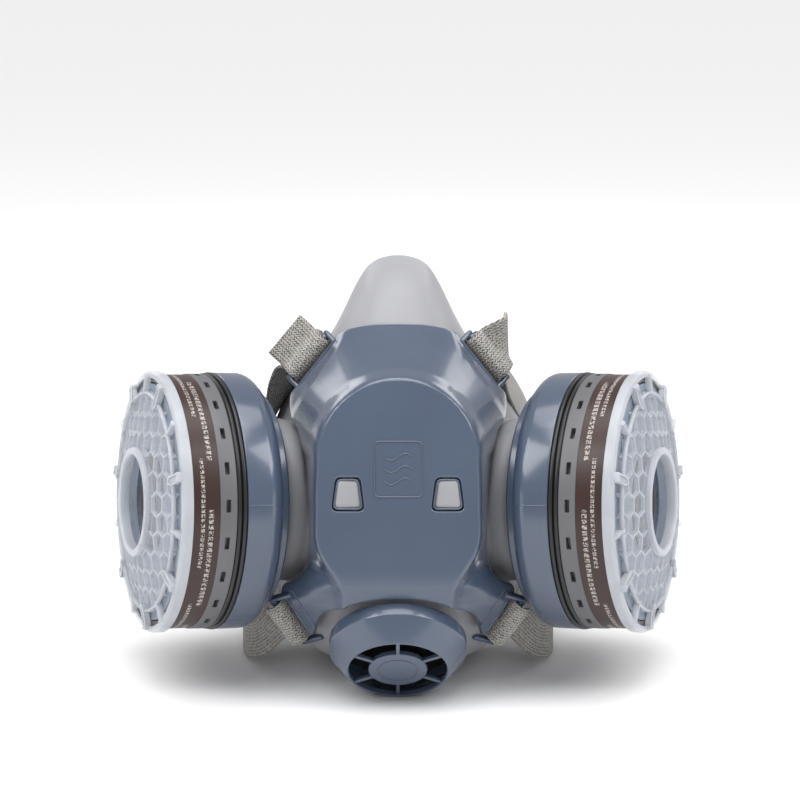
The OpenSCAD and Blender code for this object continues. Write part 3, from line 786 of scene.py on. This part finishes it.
def build_shell():
    parts = [shell_sheet()] + slot_parts("left") + slot_parts("right") + badge()
    for low, high, radius in RIDGES:
        for way in (-1, 1):
            line = resample([(way * low[0], low[1]), (way * high[0], high[1])], 0.6)
            parts.append(tube("ridge", on_shell(line, 0.0), radius, STAND))
    for way in (-1, 1):
        lip = on_shell(window_loop(way, -0.55), -0.12)
        parts.append(tube("window_lip", lip, 0.3, STAND, 8, True))
    piece(join("shell", parts), BLUE, "mask", "front_shell")


# ---- rubber facepiece -----------------------------------------------------------------

RUBBER_T = 2.2
# half sections of the cup, from behind the shell to its inturned lip, each from its top to its bottom
FACE_ROWS = [
    [(0, -30, 36), (4.4, -30.6, 35.4), (8, -32, 33), (13, -35, 24), (16, -37, 12),
     (17, -38, -3), (15, -37, -16), (9, -36, -25), (0, -35, -28)],
    [(0, -11, 54), (6.9, -11.7, 53), (12.2, -13, 49.6), (20, -17, 36), (23.5, -22, 16),
     (24, -24, -4), (23.5, -22, -22), (17.5, -21, -38), (0, -22, -43)],
    [(0, 4, 73), (7.2, 4.4, 71.6), (12.2, 5.3, 66.4), (23, 3, 48), (34, 2, 25),
     (36.5, 2, 0), (34.5, 3, -26), (30, 5, -47.5), (0, 4.5, -57.2)],
    [(0, 19, 83), (7.4, 19.3, 81.3), (12.4, 20.3, 75), (21.5, 22, 57), (37.5, 25, 34),
     (45, 27, 5), (42, 27, -25), (31, 27, -46.5), (0, 28, -53.5)],
    [(0, 23, 81.5), (7.4, 24, 79.7), (12.4, 26.3, 73.3), (22, 32, 55.5), (38, 40, 33),
     (47, 45, 5), (44, 45, -24), (31, 43, -43.5), (0, 40, -50.2)],
    [(0, 22, 70), (4.8, 23.4, 68.8), (8.6, 26.3, 64.2), (14, 33, 50), (26, 40, 28),
     (35, 44, 5), (33, 44, -18), (22, 42, -33), (0, 40, -39)]]
FACE_FRONT = np.array((0, -37.5, 3.0))
FACE_STEPS = 9
# outside of the bellows at each side port: (height on the cartridge axis, radius)
BELLOWS = [(-18, 24), (-14.5, 27), (-11, 28.2), (-7.5, 27.8), (-5.6, 26.4), (-4.6, 24.8), (-3.6, 25.6)]
PORT_R, PORT_T, PORT_IN = 17, 2.5, 22
VALVE_BORE, COLLAR_R = 17.1, 20.5
RUBBER_VOXEL = 0.9
# the lugs' sections, from back to front: (y, how far it lies inside the window's edge)
LUG_LEVELS = [(-34, 0.75), (-44.2, 0.75), (-44.7, 0.9), (-44.95, 1.3), (-45.05, 2.2)]
BEHIND_SHELL = 0.25


def loft(name, rings, matrix):
    """Closed solid through rings of equal length, closed by a fan at each end."""
    rings = np.array(rings)
    count, sides = rings.shape[:2]
    points = np.vstack([rings.reshape(-1, 3), rings[0].mean(0), rings[-1].mean(0)])
    faces = ring_faces(count, sides)
    last = (count - 1) * sides
    faces += [((i + 1) % sides, i, count * sides) for i in range(sides)]
    faces += [(last + i, last + (i + 1) % sides, count * sides + 1) for i in range(sides)]
    return make(name, points, faces, matrix, 60)


def face_cup():
    """The cup that closes on the face, from behind the shell to the inturned sealing lip."""
    rows = [np.array(r, float) for r in FACE_ROWS]
    rows.insert(0, FACE_FRONT + (rows[0] - FACE_FRONT) * 0.4)
    full = np.array([np.vstack([r, r[-2:0:-1] * (-1, 1, 1)]) for r in rows])
    ribs = catmull(full, FACE_STEPS)
    rings = np.array([catmull(ring, FACE_STEPS, closed=True) for ring in ribs])
    around = np.roll(rings, -1, 1) - np.roll(rings, 1, 1)
    inward = unit(np.cross(around, np.gradient(rings, axis=0)))
    inner = rings + inward * RUBBER_T
    return loft("cup", np.concatenate([rings, inner[::-1]]), STAND)


def window_lugs():
    """Rubber lugs of the facepiece that fill the shell's windows, each with a soft pillow front."""
    parts = []
    for way in (-1, 1):
        centre = np.array((way * WINDOW_AT[0], WINDOW_AT[1]))
        rings = []
        for y, inset in LUG_LEVELS:
            flat = centre + (window_loop(way) - centre) * (1 - inset / np.array((5.0, 5.6)))
            rings.append(np.stack([flat[:, 0], np.full(len(flat), y), flat[:, 1]], 1))
        parts.append(loft("lug", rings, STAND))
    return parts


def keep_behind_shell(obj):
    """Moves rubber that would stand in the shell's wall to just behind it."""
    leaned = STAND.inverted()
    co = np.array([leaned @ v.co for v in obj.data.vertices])
    flat = co[:, [0, 2]]
    loop = outline_loop(1.6)
    depth = np.where(inside(flat, loop), distance(flat, loop), 0)
    normal = shell_normal(flat[:, 0], flat[:, 1])
    wall = np.minimum(SHELL_T / np.maximum(-normal[:, 1], 0.25), 6.5)
    limit = shell_y(flat[:, 0], flat[:, 1]) + wall + BEHIND_SHELL
    near = (co[:, 1] < limit) & (co[:, 1] < 12) & (depth > 0)
    co[near, 1] += ((limit - co[:, 1]) * ease(depth / 1.2))[near]
    for v, p in zip(obj.data.vertices, co):
        v.co = STAND @ Vector(p)


def build_facepiece():
    parts = [face_cup()]
    for side in SIDES:
        rings = catmull(BELLOWS, 6)
        profile = [(r, z) for z, r in rings] + [(10, -3.6), (10, -18)]
        parts.append(lathe("bellows", profile, side_frame(side), 96))
    collar = rounded([(0, -24, 0), (COLLAR_R, -24, 0), (COLLAR_R, -11, 1.2), (0, -11, 0)], 4)
    parts.append(lathe("collar", collar, STAND @ VALVE_FRAME, 96))
    rubber = join("rubber", parts)
    apply(rubber, "REMESH", mode="VOXEL", voxel_size=RUBBER_VOXEL * MM, use_smooth_shade=True)
    apply(rubber, "SMOOTH", factor=0.5, iterations=6)
    keep_behind_shell(rubber)
    apply(rubber, "SMOOTH", factor=0.5, iterations=2)
    bore_r = PORT_R + PORT_T + 0.1
    port_bore = [(0, -40), (bore_r, -40), (bore_r, 20), (0, 20)]
    valve_bore = [(0, -50), (VALVE_BORE, -50), (VALVE_BORE, 30), (0, 30)]
    bores = [lathe("bore", port_bore, side_frame(side), 96) for side in SIDES]
    bores.append(lathe("bore", valve_bore, STAND @ VALVE_FRAME, 96))
    smooth(cut(rubber, bores), 45)
    whole = join("facepiece_rubber", [rubber] + window_lugs())
    piece(whole, SILICONE, "mask", "facepiece")


# ---- cartridges -----------------------------------------------------------------------

CUP_R, CUP_H, CORNER_R, HOLDER_T = 44, 13.5, 5.8, 2.5
S_GRIP, S_LABEL, S_SKIRT, S_RIM = 17, 22.8, 32, 35.5        # heights on the cartridge axis
S_FACE, S_BOSS = S_RIM + 1.7, S_RIM + 6
WALL_R, WINDOW_R, BOSS_R, BOSS_HOLE = 43.2, 37, 18.5, 16
GRIP_SLOTS, CAP_WINDOWS = 22, 14
LABEL_LOW, LABEL_HIGH = S_LABEL + 0.05, S_SKIRT - 0.2
CELL = 7.6             # pitch of the cap's honeycomb
CELL_RIB, CELL_DEEP, CELL_UNDER = 0.36, 1.2, 1.1        # half width, depth and place under the face


def corner(radius, start=0, inset=0.0):
    """Quarter circle of the holder's corner, from its back to its side."""
    turn = np.radians(np.linspace(start, 90, 12))
    middle = inset + radius
    return [(CUP_R - middle + radius * math.sin(a), middle - radius * math.cos(a), 0) for a in turn]


def build_holder(side):
    profile = ([(PORT_R, -PORT_IN, 0.3), (PORT_R + PORT_T, -PORT_IN, 0.3), (PORT_R + PORT_T, -3.2, 0.8),
                (36.3, -3.2, 0.6), (37.6, -2.4, 0.5), (37.6, 0.1, 0.3)] + corner(CORNER_R, 8)
               + [(CUP_R, CUP_H, 0.5), (CUP_R - HOLDER_T, CUP_H, 0.3)]
               + corner(CORNER_R - HOLDER_T, 0, HOLDER_T)[::-1] + [(PORT_R, HOLDER_T, 0.4)])
    parts = [lathe("holder", rounded(profile), side_frame(side), 180, 40)]
    # faint mould seam over the cup's front and back
    outside = [(r, z) for r, z, _ in corner(CORNER_R, 20)] + [(CUP_R, CUP_H - 0.4)]
    for turn in (-1, 1):
        path = [(0.0, turn * r, z) for r, z in outside]
        parts.append(tube("seam", path, 0.2, side_frame(side), 6))
    piece(join(f"{side}_holder_cup", parts), BLUE, "mask", f"{side}_holder")


def build_gasket(side):
    low, high, inner = CUP_H + 0.05, S_GRIP - 0.05, 41.2
    profile = [(inner, low, 0.1), (CUP_R - 0.5, low, 0.3), (CUP_R + 0.1, low + 0.5, 0.5),
               (CUP_R + 0.1, low + 1.4, 0.5), (CUP_R - 1.2, low + 1.85, 0.2),
               (CUP_R - 0.2, low + 2.2, 0.35), (CUP_R - 0.2, high - 0.5, 0.3),
               (CUP_R - 0.8, high, 0.2), (inner, high, 0.1)]
    ring = lathe(f"{side}_seal_ring", rounded(profile), side_frame(side), 180, 60)
    piece(ring, SEAL, f"{side}_gasket", f"{side}_gasket")


def build_canister(side):
    thread_r, skirt_in, pitch = 40.8, 8.0, 6
    profile = [(BOSS_HOLE, S_GRIP, 0), (thread_r - 3, S_GRIP, 0), (thread_r - 3, skirt_in, 0.3),
               (thread_r, skirt_in, 0.5), (thread_r, S_GRIP, 0), (WALL_R + 0.4, S_GRIP, 0.5),
               (WALL_R + 0.4, S_LABEL, 0.4), (WALL_R - 0.4, S_LABEL, 0), (WALL_R - 0.4, S_RIM - 1, 0.2),
               (WALL_R - 2.6, S_RIM - 1, 0.2), (WALL_R - 2.6, S_GRIP + 2, 0), (BOSS_HOLE, S_GRIP + 2, 0)]
    place = side_frame(side)
    body = lathe("canister", rounded(profile), place, 176, 40)
    slots = []
    for k in range(GRIP_SLOTS):
        turned = place @ Matrix.Rotation(2 * math.pi * (k + 0.5) / GRIP_SLOTS, 4, "Z")
        low, high = (WALL_R - 2.2, -2.1, S_GRIP + 2.3), (WALL_R + 3, 2.1, S_GRIP + 3.9)
        slots.append(block("slot", low, high, turned, 0.25, 2))
    cut(body, [join("slots", slots)])
    threads = []
    for turn in (0.0, 0.33, 0.66):
        t = np.linspace(turn, turn + 0.55, 60)
        path = np.stack([thread_r * np.cos(t * 2 * math.pi), thread_r * np.sin(t * 2 * math.pi),
                         skirt_in + 1 + (t - turn) * pitch], 1)
        threads.append(tube("thread", path, 0.35, place, 6))
    whole = join(f"{side}_grip_ring", [smooth(body, 40)] + threads)
    piece(whole, GRIP, f"{side}_cartridge", f"{side}_canister")


def build_label(side):
    low, high = LABEL_LOW, LABEL_HIGH
    inner, outer = WALL_R - 0.35, WALL_R + 0.12
    face = [(outer, low + (high - low) * k / 6) for k in range(7)]
    profile = [(inner, low)] + face + [(inner, high)]
    band = lathe(f"{side}_label_band", profile, side_frame(side), 288, 40)
    back = side_frame(side).inverted()
    wrap = band.data.attributes.new("wrap", "FLOAT_VECTOR", "POINT")
    values = []
    for v in band.data.vertices:
        p = back @ v.co
        values.append(((math.atan2(p.y, p.x) + math.pi) * WALL_R * MM, p.z * MM, 0))
    wrap.data.foreach_set("vector", np.array(values, np.float32).ravel())
    piece(band, LABEL, f"{side}_cartridge", f"{side}_label")


def taper(name, stations, matrix):
    """A radial bar through stations (radius, half width, low, high), with rounded corners."""
    rings = []
    for r, half, low, high in stations:
        c = min(half, (high - low) / 2) * 0.45
        ring = [(-half, low), (half, low), (half, high - c), (half - c, high), (c - half, high),
                (-half, high - c)]
        rings.append([(r, y, z) for y, z in ring])
    return loft(name, rings, matrix)


def cone_z(r):
    """Height of the cap's conical face at radius r."""
    return S_FACE + (S_BOSS - 0.7 - S_FACE) * (WINDOW_R - r) / (WINDOW_R - BOSS_R)


def cap_rib(k, matrix):
    """One of the ribs between the cap's windows: every other one is a raised leaf with rails."""
    place = matrix @ Matrix.Rotation(2 * math.pi * k / CAP_WINDOWS, 4, "Z")
    rim = CUP_R - 0.6
    if k % 2:
        plain = [(36.2, 0.55, 36.2, 37.7), (38.6, 0.75, 34.9, 37.2), (rim, 0.95, 34.8, 36.9)]
        return [taper("rib", plain, place)]
    leaf = [(34.9, 0.3, 36.9, 37.9), (35.8, 1.0, 36.6, 37.8), (WINDOW_R, 1.5, 36.0, 37.5),
            (40, 1.5, 35.1, 37.0), (rim, 1.4, 34.9, 36.7)]
    parts = [taper("leaf", leaf, place)]
    for way in (-1, 1):
        rail = catmull([(r, way * (half - 0.15), high) for r, half, _, high in leaf], 4)
        parts.append(tube("rail", rail + (0, 0, 0.15), 0.36, place))
    parts.append(block("tab", (rim - 1.5, -1.7, 35.0), (rim + 0.2, 1.7, 37.4), place, 0.5))
    return parts


def cell_edges():
    """Ends of every edge in a field of hexagons that covers the cap, each edge once."""
    side = CELL / math.sqrt(3)
    edges = {}
    for i in range(-7, 8):
        for j in range(-7, 8):
            x, y = i * CELL * 0.866, (j + (0.5 if i % 2 else 0)) * CELL
            turn = [math.radians(60 * k) for k in range(6)]
            ring = [(x + side * math.cos(t), y + side * math.sin(t)) for t in turn]
            for a, b in zip(ring, ring[1:] + ring[:1]):
                key = tuple(sorted(tuple(round(v, 1) for v in end) for end in (a, b)))
                edges.setdefault(key, (np.array(a), np.array(b)))
    return edges.values()


def clipped(a, b, near, far):
    """The part of a line, from its inner end, that lies between two radii, or None if too short."""
    a, b = sorted((a, b), key=np.linalg.norm)
    if np.linalg.norm(b) < near + 0.6 or np.linalg.norm(a) > far - 0.4:
        return None
    share = np.linspace(0, 1, 41)
    reach = np.linalg.norm(a + (b - a) * share[:, None], axis=1)
    kept = share[(reach > near) & (reach < far)]
    ends = a + (b - a) * kept[0], a + (b - a) * kept[-1]
    return ends if np.linalg.norm(ends[1] - ends[0]) >= 0.6 else None


def honeycomb(matrix):
    """Ribs of the cap's honeycomb, under its conical face: one thin bar along each cell edge."""
    points, faces = [], []
    for edge in cell_edges():
        ends = clipped(*edge, BOSS_R - 0.2, WINDOW_R + 0.2)
        if ends is None:
            continue
        way = unit(ends[1] - ends[0])
        across = np.array((-way[1], way[0])) * CELL_RIB
        a, b = ends[0] - way * 0.2, ends[1] + way * 0.2
        ids = [len(points) + 2 * k for k in range(4)]
        for p in (a - across, a + across, b + across, b - across):
            top = cone_z(min(np.linalg.norm(p), WINDOW_R)) - CELL_UNDER
            points += [(p[0], p[1], top), (p[0], p[1], top - CELL_DEEP)]
        faces.append(tuple(ids))
        faces.append(tuple(v + 1 for v in reversed(ids)))
        faces += [(ids[k], ids[k] + 1, ids[(k + 1) % 4] + 1, ids[(k + 1) % 4]) for k in range(4)]
    return make("cells", points, faces, matrix, 30)


def build_cap(side):
    place = side_frame(side)
    face = rounded([(WINDOW_R + 0.2, S_FACE - 0.1, 0.4), (BOSS_R, S_BOSS - 0.7, 0.2),
                    (BOSS_R, S_BOSS - 0.8, 0), (BOSS_R - 1.2, S_BOSS - 2.0, 0),
                    (WINDOW_R + 0.2, S_FACE - 1.2, 0.2)])
    skin = paint(lathe("face", face, place, 168), FROST_THIN)
    rim = rounded([(CUP_R - 0.7, S_SKIRT, 0.1), (CUP_R + 0.5, S_SKIRT, 0.3),
                   (CUP_R + 0.5, S_RIM - 0.5, 0.8), (CUP_R - 0.3, S_RIM + 0.2, 0.5),
                   (CUP_R - 1.8, S_RIM + 0.3, 0.4), (CUP_R - 1.8, S_RIM - 0.8, 0.2),
                   (CUP_R - 0.7, S_RIM - 0.9, 0.1)])
    boss = rounded([(BOSS_R + 0.1, S_BOSS - 1.6, 0.2), (BOSS_R, S_BOSS, 0.7), (BOSS_HOLE, S_BOSS, 0.7),
                    (BOSS_HOLE, S_BOSS - 3.4, 0.2), (BOSS_HOLE + 1, S_BOSS - 3.4, 0.2),
                    (BOSS_HOLE + 1, S_BOSS - 2.2, 0.2)])
    window_ring = bead(WINDOW_R, S_FACE - 0.5, 0.55, 0.75, 12)
    solid = [lathe("rim", rim, place, 168), lathe("boss", boss, place, 120),
             lathe("window_ring", window_ring, place, 168), honeycomb(place)]
    for k in range(CAP_WINDOWS):
        solid += cap_rib(k, place)
    whole = join(f"{side}_filter_cap", [skin, paint(join("solid", solid), FROST_THICK)])
    piece(whole, None, f"{side}_cap", f"{side}_cap")


def build_core(side):
    """Round plate in the cap's middle opening, with a raised ring and three short bars."""
    place = side_frame(side)
    radius, low, high = BOSS_HOLE - 0.4, S_SKIRT - 1.4, S_SKIRT + 2.4
    plate = rounded([(0, low, 0), (radius, low, 0), (radius, high, 0.6), (0, high, 0)])
    ring = bead(12.6, high, 0.35, 0.35)
    round_parts = join("plate", [lathe("plate", plate, place, 96), lathe("ring", ring, place, 96)])
    bars = []
    for k in (-1, 0, 1):
        half = 7 - abs(k) * 2
        near, far = (-half, 5 * k - 0.7, high - 0.2), (half, 5 * k + 0.7, high + 0.5)
        bars.append(block("bar", near, far, place, 0.25))
    whole = join(f"{side}_core_plate", [paint(round_parts, CORE), paint(join("bars", bars), GRIP)])
    piece(whole, None, f"{side}_cartridge", f"{side}_core")


# ---- exhalation valve -----------------------------------------------------------------

VALVE_R, GRILLE_R, HUB_R, CONE_H, SPOKES = 23, 16.9, 9.8, 7.5, 6


def build_valve_cover():
    place = STAND @ VALVE_FRAME
    ring = rounded([(GRILLE_R - 0.5, -0.1, 0.3), (GRILLE_R + 0.3, 0, 0.5), (VALVE_R, -CONE_H, 1.4),
                    (VALVE_R, -12, 0.4), (VALVE_R - 2, -12, 0.2), (VALVE_R - 2, -CONE_H - 0.6, 0.6),
                    (GRILLE_R - 0.5, -2, 0.2)])
    hub = rounded([(0, 0, 0), (HUB_R - 1.5, -0.05, 0), (HUB_R, -0.25, 0.4), (HUB_R, -2, 0.2), (0, -2, 0)])
    parts = [lathe("ring", ring, place, 144), lathe("hub", hub, place, 96),
             lathe("hub_ring", bead(6.6, 0, 0.2, 0.2), place, 96)]
    for k in range(SPOKES):
        turned = place @ Matrix.Rotation(math.pi / 2 + 2 * math.pi * k / SPOKES, 4, "Z")
        low, high = (HUB_R - 0.6, -0.65, -1.9), (GRILLE_R + 0.1, 0.65, -0.35)
        parts.append(block("spoke", low, high, turned, 0.3))
    piece(join("valve_grille", parts), BLUE, "valve_cover", "valve_cover")


# ---- webbing --------------------------------------------------------------------------

# strap routes and the directions across them, on the table, in millimetres
TABLE = Matrix.Scale(MM, 4) @ Matrix.Translation((0, STAND.translation.y / MM, 0))
HEAD_LEFT = [(-31.2, 12.9, 110.5), (-33.0, 16.5, 110.6), (-36.2, 20.6, 107.4), (-38.6, 23.6, 101.4),
             (-40.4, 27, 94.4), (-42.6, 33.4, 86.8), (-47, 46.4, 77), (-52.5, 67, 60), (-54, 96, 37.5)]
HEAD_BACK_LEFT = [(-49, 127, 20.5), (-34, 150, 11.6), (-17, 156.5, 9.2)]
HEAD_BACK = HEAD_BACK_LEFT + [(0, 158, 8.9)] + [(-x, y, z) for x, y, z in reversed(HEAD_BACK_LEFT)]
HEAD_RIGHT = [(54, 96, 37.5), (52.5, 67, 60), (47.8, 53, 76), (43.6, 44.5, 85.6), (40.0, 37, 92.6),
              (37.0, 30, 99), (34.8, 23.6, 104.8), (32.7, 17.4, 109.2), (31.2, 12.9, 110.5)]
HEAD_LEFT_ACROSS = [(-0.638, 0.018, -0.77), (-0.64, -0.12, -0.74), (-0.66, -0.36, -0.64),
                    (-0.7, -0.54, -0.44), (-0.68, -0.6, -0.4), (-0.5, -0.62, -0.58),
                    (-0.25, -0.55, -0.78), (-0.1, -0.5, -0.86), (-0.04, -0.48, -0.88)]
HEAD_BACK_ACROSS = [(0, -0.4, -0.92), (0, -0.3, -0.95), (0, -0.2, -0.98), (0, -0.2, -0.98),
                    (0, -0.2, -0.98), (0, -0.3, -0.95), (0, -0.4, -0.92)]
HEAD_RIGHT_ACROSS = [(0.04, -0.48, -0.88), (0.1, -0.5, -0.86), (0.12, -0.55, -0.82),
                     (0.12, -0.58, -0.8), (0.16, -0.6, -0.78), (0.22, -0.58, -0.78),
                     (0.34, -0.44, -0.82), (0.54, -0.18, -0.81), (0.638, 0.018, -0.77)]
NECK_HALF = [(39.4, -10.6, 23.1), (41.2, -7, 22.8), (43.8, -1.8, 19.2), (48.6, 4.6, 12.4),
             (53, 12.5, 9.4), (55.1, 24, 9.1), (54.4, 40, 9.1), (50, 60, 9.1), (38, 80, 9.1),
             (24, 90, 9.1), (14, 93, 9.1)]
NECK_ACROSS = [(-0.52, 0.256, -0.815), (-0.49, 0.18, -0.86), (-0.28, -0.14, -0.95), (-0.08, -0.18, -0.98),
               (0, -0.2, -0.98), (0, -0.12, -0.99)] + [(0, 0, -1)] * 5
CLASP_Y = 93
# a strap end's line round its bar, (away from the mask, to the front), from its tail's cut
TAILS = {
    ("upper", "left"): [(10.8, 4.3), (8, 3.2), (5.4, 2.35), (3.6, 2.05)],
    ("upper", "right"): [(11.0, 0.6), (9.6, 1.7), (7.4, 2.5), (5.4, 2.5), (3.6, 2.1)],
    ("lower", "left"): [(3.0, 2.2)],
    ("lower", "right"): [(3.0, 2.2)],
}
WRAP = [(2.0, 2.75), (0.5, 3.1), (-1.3, 2.7), (-2.4, 1.1), (-2.4, -0.9), (-1.5, -2.2), (0.5, -2.35),
        (2.3, -2.4)]
# the direction, in the mask's frame, that a twisted tail's width turns to at its cut
TWIST = {("upper", "right"): (-0.105, -0.78, 0.62)}


def web_section():
    """Flat section with round edges: (across, through)."""
    half_w, half_t = WEB_W / 2, WEB_T / 2
    out = []
    for way in (1, -1):
        for turn in np.radians(np.linspace(-90, 90, 7)):
            out.append((way * (half_w - half_t + half_t * math.cos(turn)), way * half_t * math.sin(turn)))
        out += [(way * x, way * half_t) for x in np.linspace(half_w - 2, 2 - half_w, 7)]
    return out


def build_strap(name, path, across, matrix, body, node):
    """A strap of webbing along path."""
    obj = sweep(name, path, web_section(), across, matrix, 70)
    piece(obj, WEBBING, body, node)


def build_strap_end(level, side):
    line = catmull(TAILS[(level, side)] + WRAP, 5)
    path = [(away, front, 0) for away, front in line]
    across = np.tile((0.0, 0.0, 1.0), (len(line), 1))
    if (level, side) in TWIST:
        turned = bar_frame(level).to_3x3().transposed() @ Vector(TWIST[(level, side)])
        far = ease((line[:, 0] - 2.5) / 8) * (line[:, 1] > 0)
        across += (np.array(turned) - across) * far[:, None]
    name = f"{level}_{side}_strap_end"
    build_strap(name + "_web", path, across, on_side(side) @ bar_frame(level), "mask", name)


def build_straps():
    path = catmull(HEAD_LEFT + HEAD_BACK + HEAD_RIGHT, 7)
    turn = catmull(HEAD_LEFT_ACROSS + HEAD_BACK_ACROSS + HEAD_RIGHT_ACROSS, 7)
    build_strap("head_strap_web", path, turn, TABLE, "head_strap", "head_strap")
    for side, way in SIDES.items():
        path = catmull(NECK_HALF, 7) * (way, 1, 1)
        turn = catmull(NECK_ACROSS, 7) * (way, 1, 1)
        name = f"neck_strap_{side}"
        build_strap(name + "_web", path, turn, TABLE, "neck_strap", name)


def clasp_bar(way, low, high, round_by=0.5):
    """A box of the clasp's left (-1) or right (1) half."""
    near, far = sorted((way * low[0], way * high[0]))
    place = TABLE @ Matrix.Translation((0, CLASP_Y, 0))
    return block("clasp", (near, low[1], low[2]), (far, high[1], high[2]), place, round_by)


def build_clasp():
    """Small black hook-and-loop clasp behind the neck."""
    for name, way, front in (("clasp_hook", -1, 0.9), ("clasp_loop", 1, -1.2)):
        back = front + 1.6
        parts = [clasp_bar(way, (11.2, -1.2, 0.4), (13.6, 2.2, 17.4), 0.8)]
        parts += [clasp_bar(way, (-1.8, front, z), (11.6, back, z + 2.6)) for z in (3, 11.9)]
        parts += [clasp_bar(way, (x, front, 3), (x + 2.2, back, 14.5)) for x in (-1.8, 4.6)]
        piece(join(name + "_part", parts), BLACK, "neck_strap", name)


# ---- camera, floor and light ----------------------------------------------------------

TARGET = Vector((0.0007, -0.047, 0.09465))
VIEW_DOWN = math.radians(12)
CAMERA_AWAY, LENS, SENSOR = 0.8, 104.35, 36
FLOOR_SIZE, FLOOR_Z = 60, -0.0002
SKY = 0.48
SUN_AT, SUN_ANGLE, SUN_POWER = (0.0, -0.35, 1.5), 0.8, 1.55
# soft boxes: name, place, point aimed at, size in metres and power in watts
MASK_AT = (0, -0.05, 0.08)
SOFT_BOXES = [
    ("top", (0.0, 0.1, 1.1), (0.0, -0.04, 0.05), (0.8, 0.45), 2.8),
    ("left", (-0.66, -0.44, 0.82), MASK_AT, (0.5, 0.55), 4.2),
    ("right", (0.7, -0.4, 0.82), MASK_AT, (0.45, 0.55), 3.8),
    ("rim_left", (-0.52, 0.78, 0.56), MASK_AT, (0.4, 0.3), 0.85),
    ("rim_right", (0.56, 0.72, 0.62), MASK_AT, (0.4, 0.3), 0.85),
    ("low_left", (-0.9, -0.55, 0.14), MASK_AT, (0.5, 0.34), 0.6),
    ("low_right", (0.9, -0.55, 0.14), MASK_AT, (0.5, 0.34), 0.6),
]


def build_camera():
    look = Vector((0, math.cos(VIEW_DOWN), -math.sin(VIEW_DOWN)))
    camera = placed("camera", bpy.data.cameras.new("camera"))
    camera.data.lens = LENS
    camera.data.sensor_width = SENSOR
    camera.location = TARGET - look * CAMERA_AWAY
    camera.rotation_euler = look.to_track_quat("-Z", "Y").to_euler()
    bpy.context.scene.camera = camera


def build_floor():
    bpy.ops.mesh.primitive_plane_add(size=FLOOR_SIZE, location=(0, 0, FLOOR_Z))
    floor = bpy.context.object
    floor.name = "floor"
    paper = Shader("paper", (0.93, 0.93, 0.935), 0.85, Specular_IOR_Level=0.2)
    paper.bump(paper.noise(700, 3), 0.00002, 0.2)
    paint(floor, paper.material)


def lamp(name, kind, at, aim, power):
    """A light at a place, turned to the point that it is aimed at."""
    obj = placed(name, bpy.data.lights.new(name, kind))
    obj.location = at
    obj.rotation_euler = (Vector(aim) - Vector(at)).to_track_quat("-Z", "Y").to_euler()
    obj.data.energy = power
    return obj.data


def build_lights():
    lamp("sun", "SUN", SUN_AT, (0, 0, 0), SUN_POWER).angle = SUN_ANGLE
    for name, at, aim, size, power in SOFT_BOXES:
        soft_box = lamp(name, "AREA", at, aim, power)
        soft_box.shape = "RECTANGLE"
        soft_box.size, soft_box.size_y = size
    world = bpy.data.worlds.new("studio")
    world.use_nodes = True
    world.node_tree.nodes["Background"].inputs["Color"].default_value = (1, 1, 1, 1)
    world.node_tree.nodes["Background"].inputs["Strength"].default_value = SKY
    bpy.context.scene.world = world
    bpy.context.scene.view_settings.view_transform = "Standard"


# ---- build ----------------------------------------------------------------------------

BLUE = gloss_blue()
SILICONE = silicone_rubber()
SEAL = moulded("seal_black", (0.008, 0.008, 0.009), 0.32, 0.00003, 0.2, Specular_IOR_Level=0.5)
BLACK = moulded("satin_black", (0.018, 0.018, 0.02), 0.4, 0.00003, 0.15)
GRIP = moulded("grip_grey", (0.115, 0.116, 0.124), 0.42, 0.00002, 0.06)
CORE = moulded("core_grey", (0.05, 0.051, 0.054), 0.5, 0.00003, 0.12)
FROST_THIN = frosted("frosted_thin", 0.14)
FROST_THICK = frosted("frosted_thick", 0.56, (0.6, 0.625, 0.67))
LABEL = label_film(LABEL_LOW * MM, LABEL_HIGH * MM)
WEBBING = webbing_weave()
FLEECE = fleece()
CARBON = carbon_bed()

build_camera()
build_floor()
build_lights()
build_shell()
build_facepiece()
build_valve_cover()
for side in SIDES:
    build_holder(side)
    build_gasket(side)
    build_canister(side)
    build_label(side)
    build_cap(side)
    build_core(side)
    build_strap_end("upper", side)
    build_strap_end("lower", side)
build_straps()
build_clasp()

# inner parts that are shown as the frame's own meshes
CAD_FINISH = {"port_nut": BLACK, "inhale_seat": BLACK, "exhale_seat": BLACK, "inhale_flap": SILICONE,
              "exhale_flap": SEAL, "sorbent": CARBON, "honeycomb": BLUE, "prefilter": FLEECE}
for node, obj in frame["nodes"].items():
    material = CAD_FINISH.get(node.replace("left_", "").replace("right_", ""))
    if material and not obj.hide_render:
        for slot in obj.material_slots:
            slot.material = material
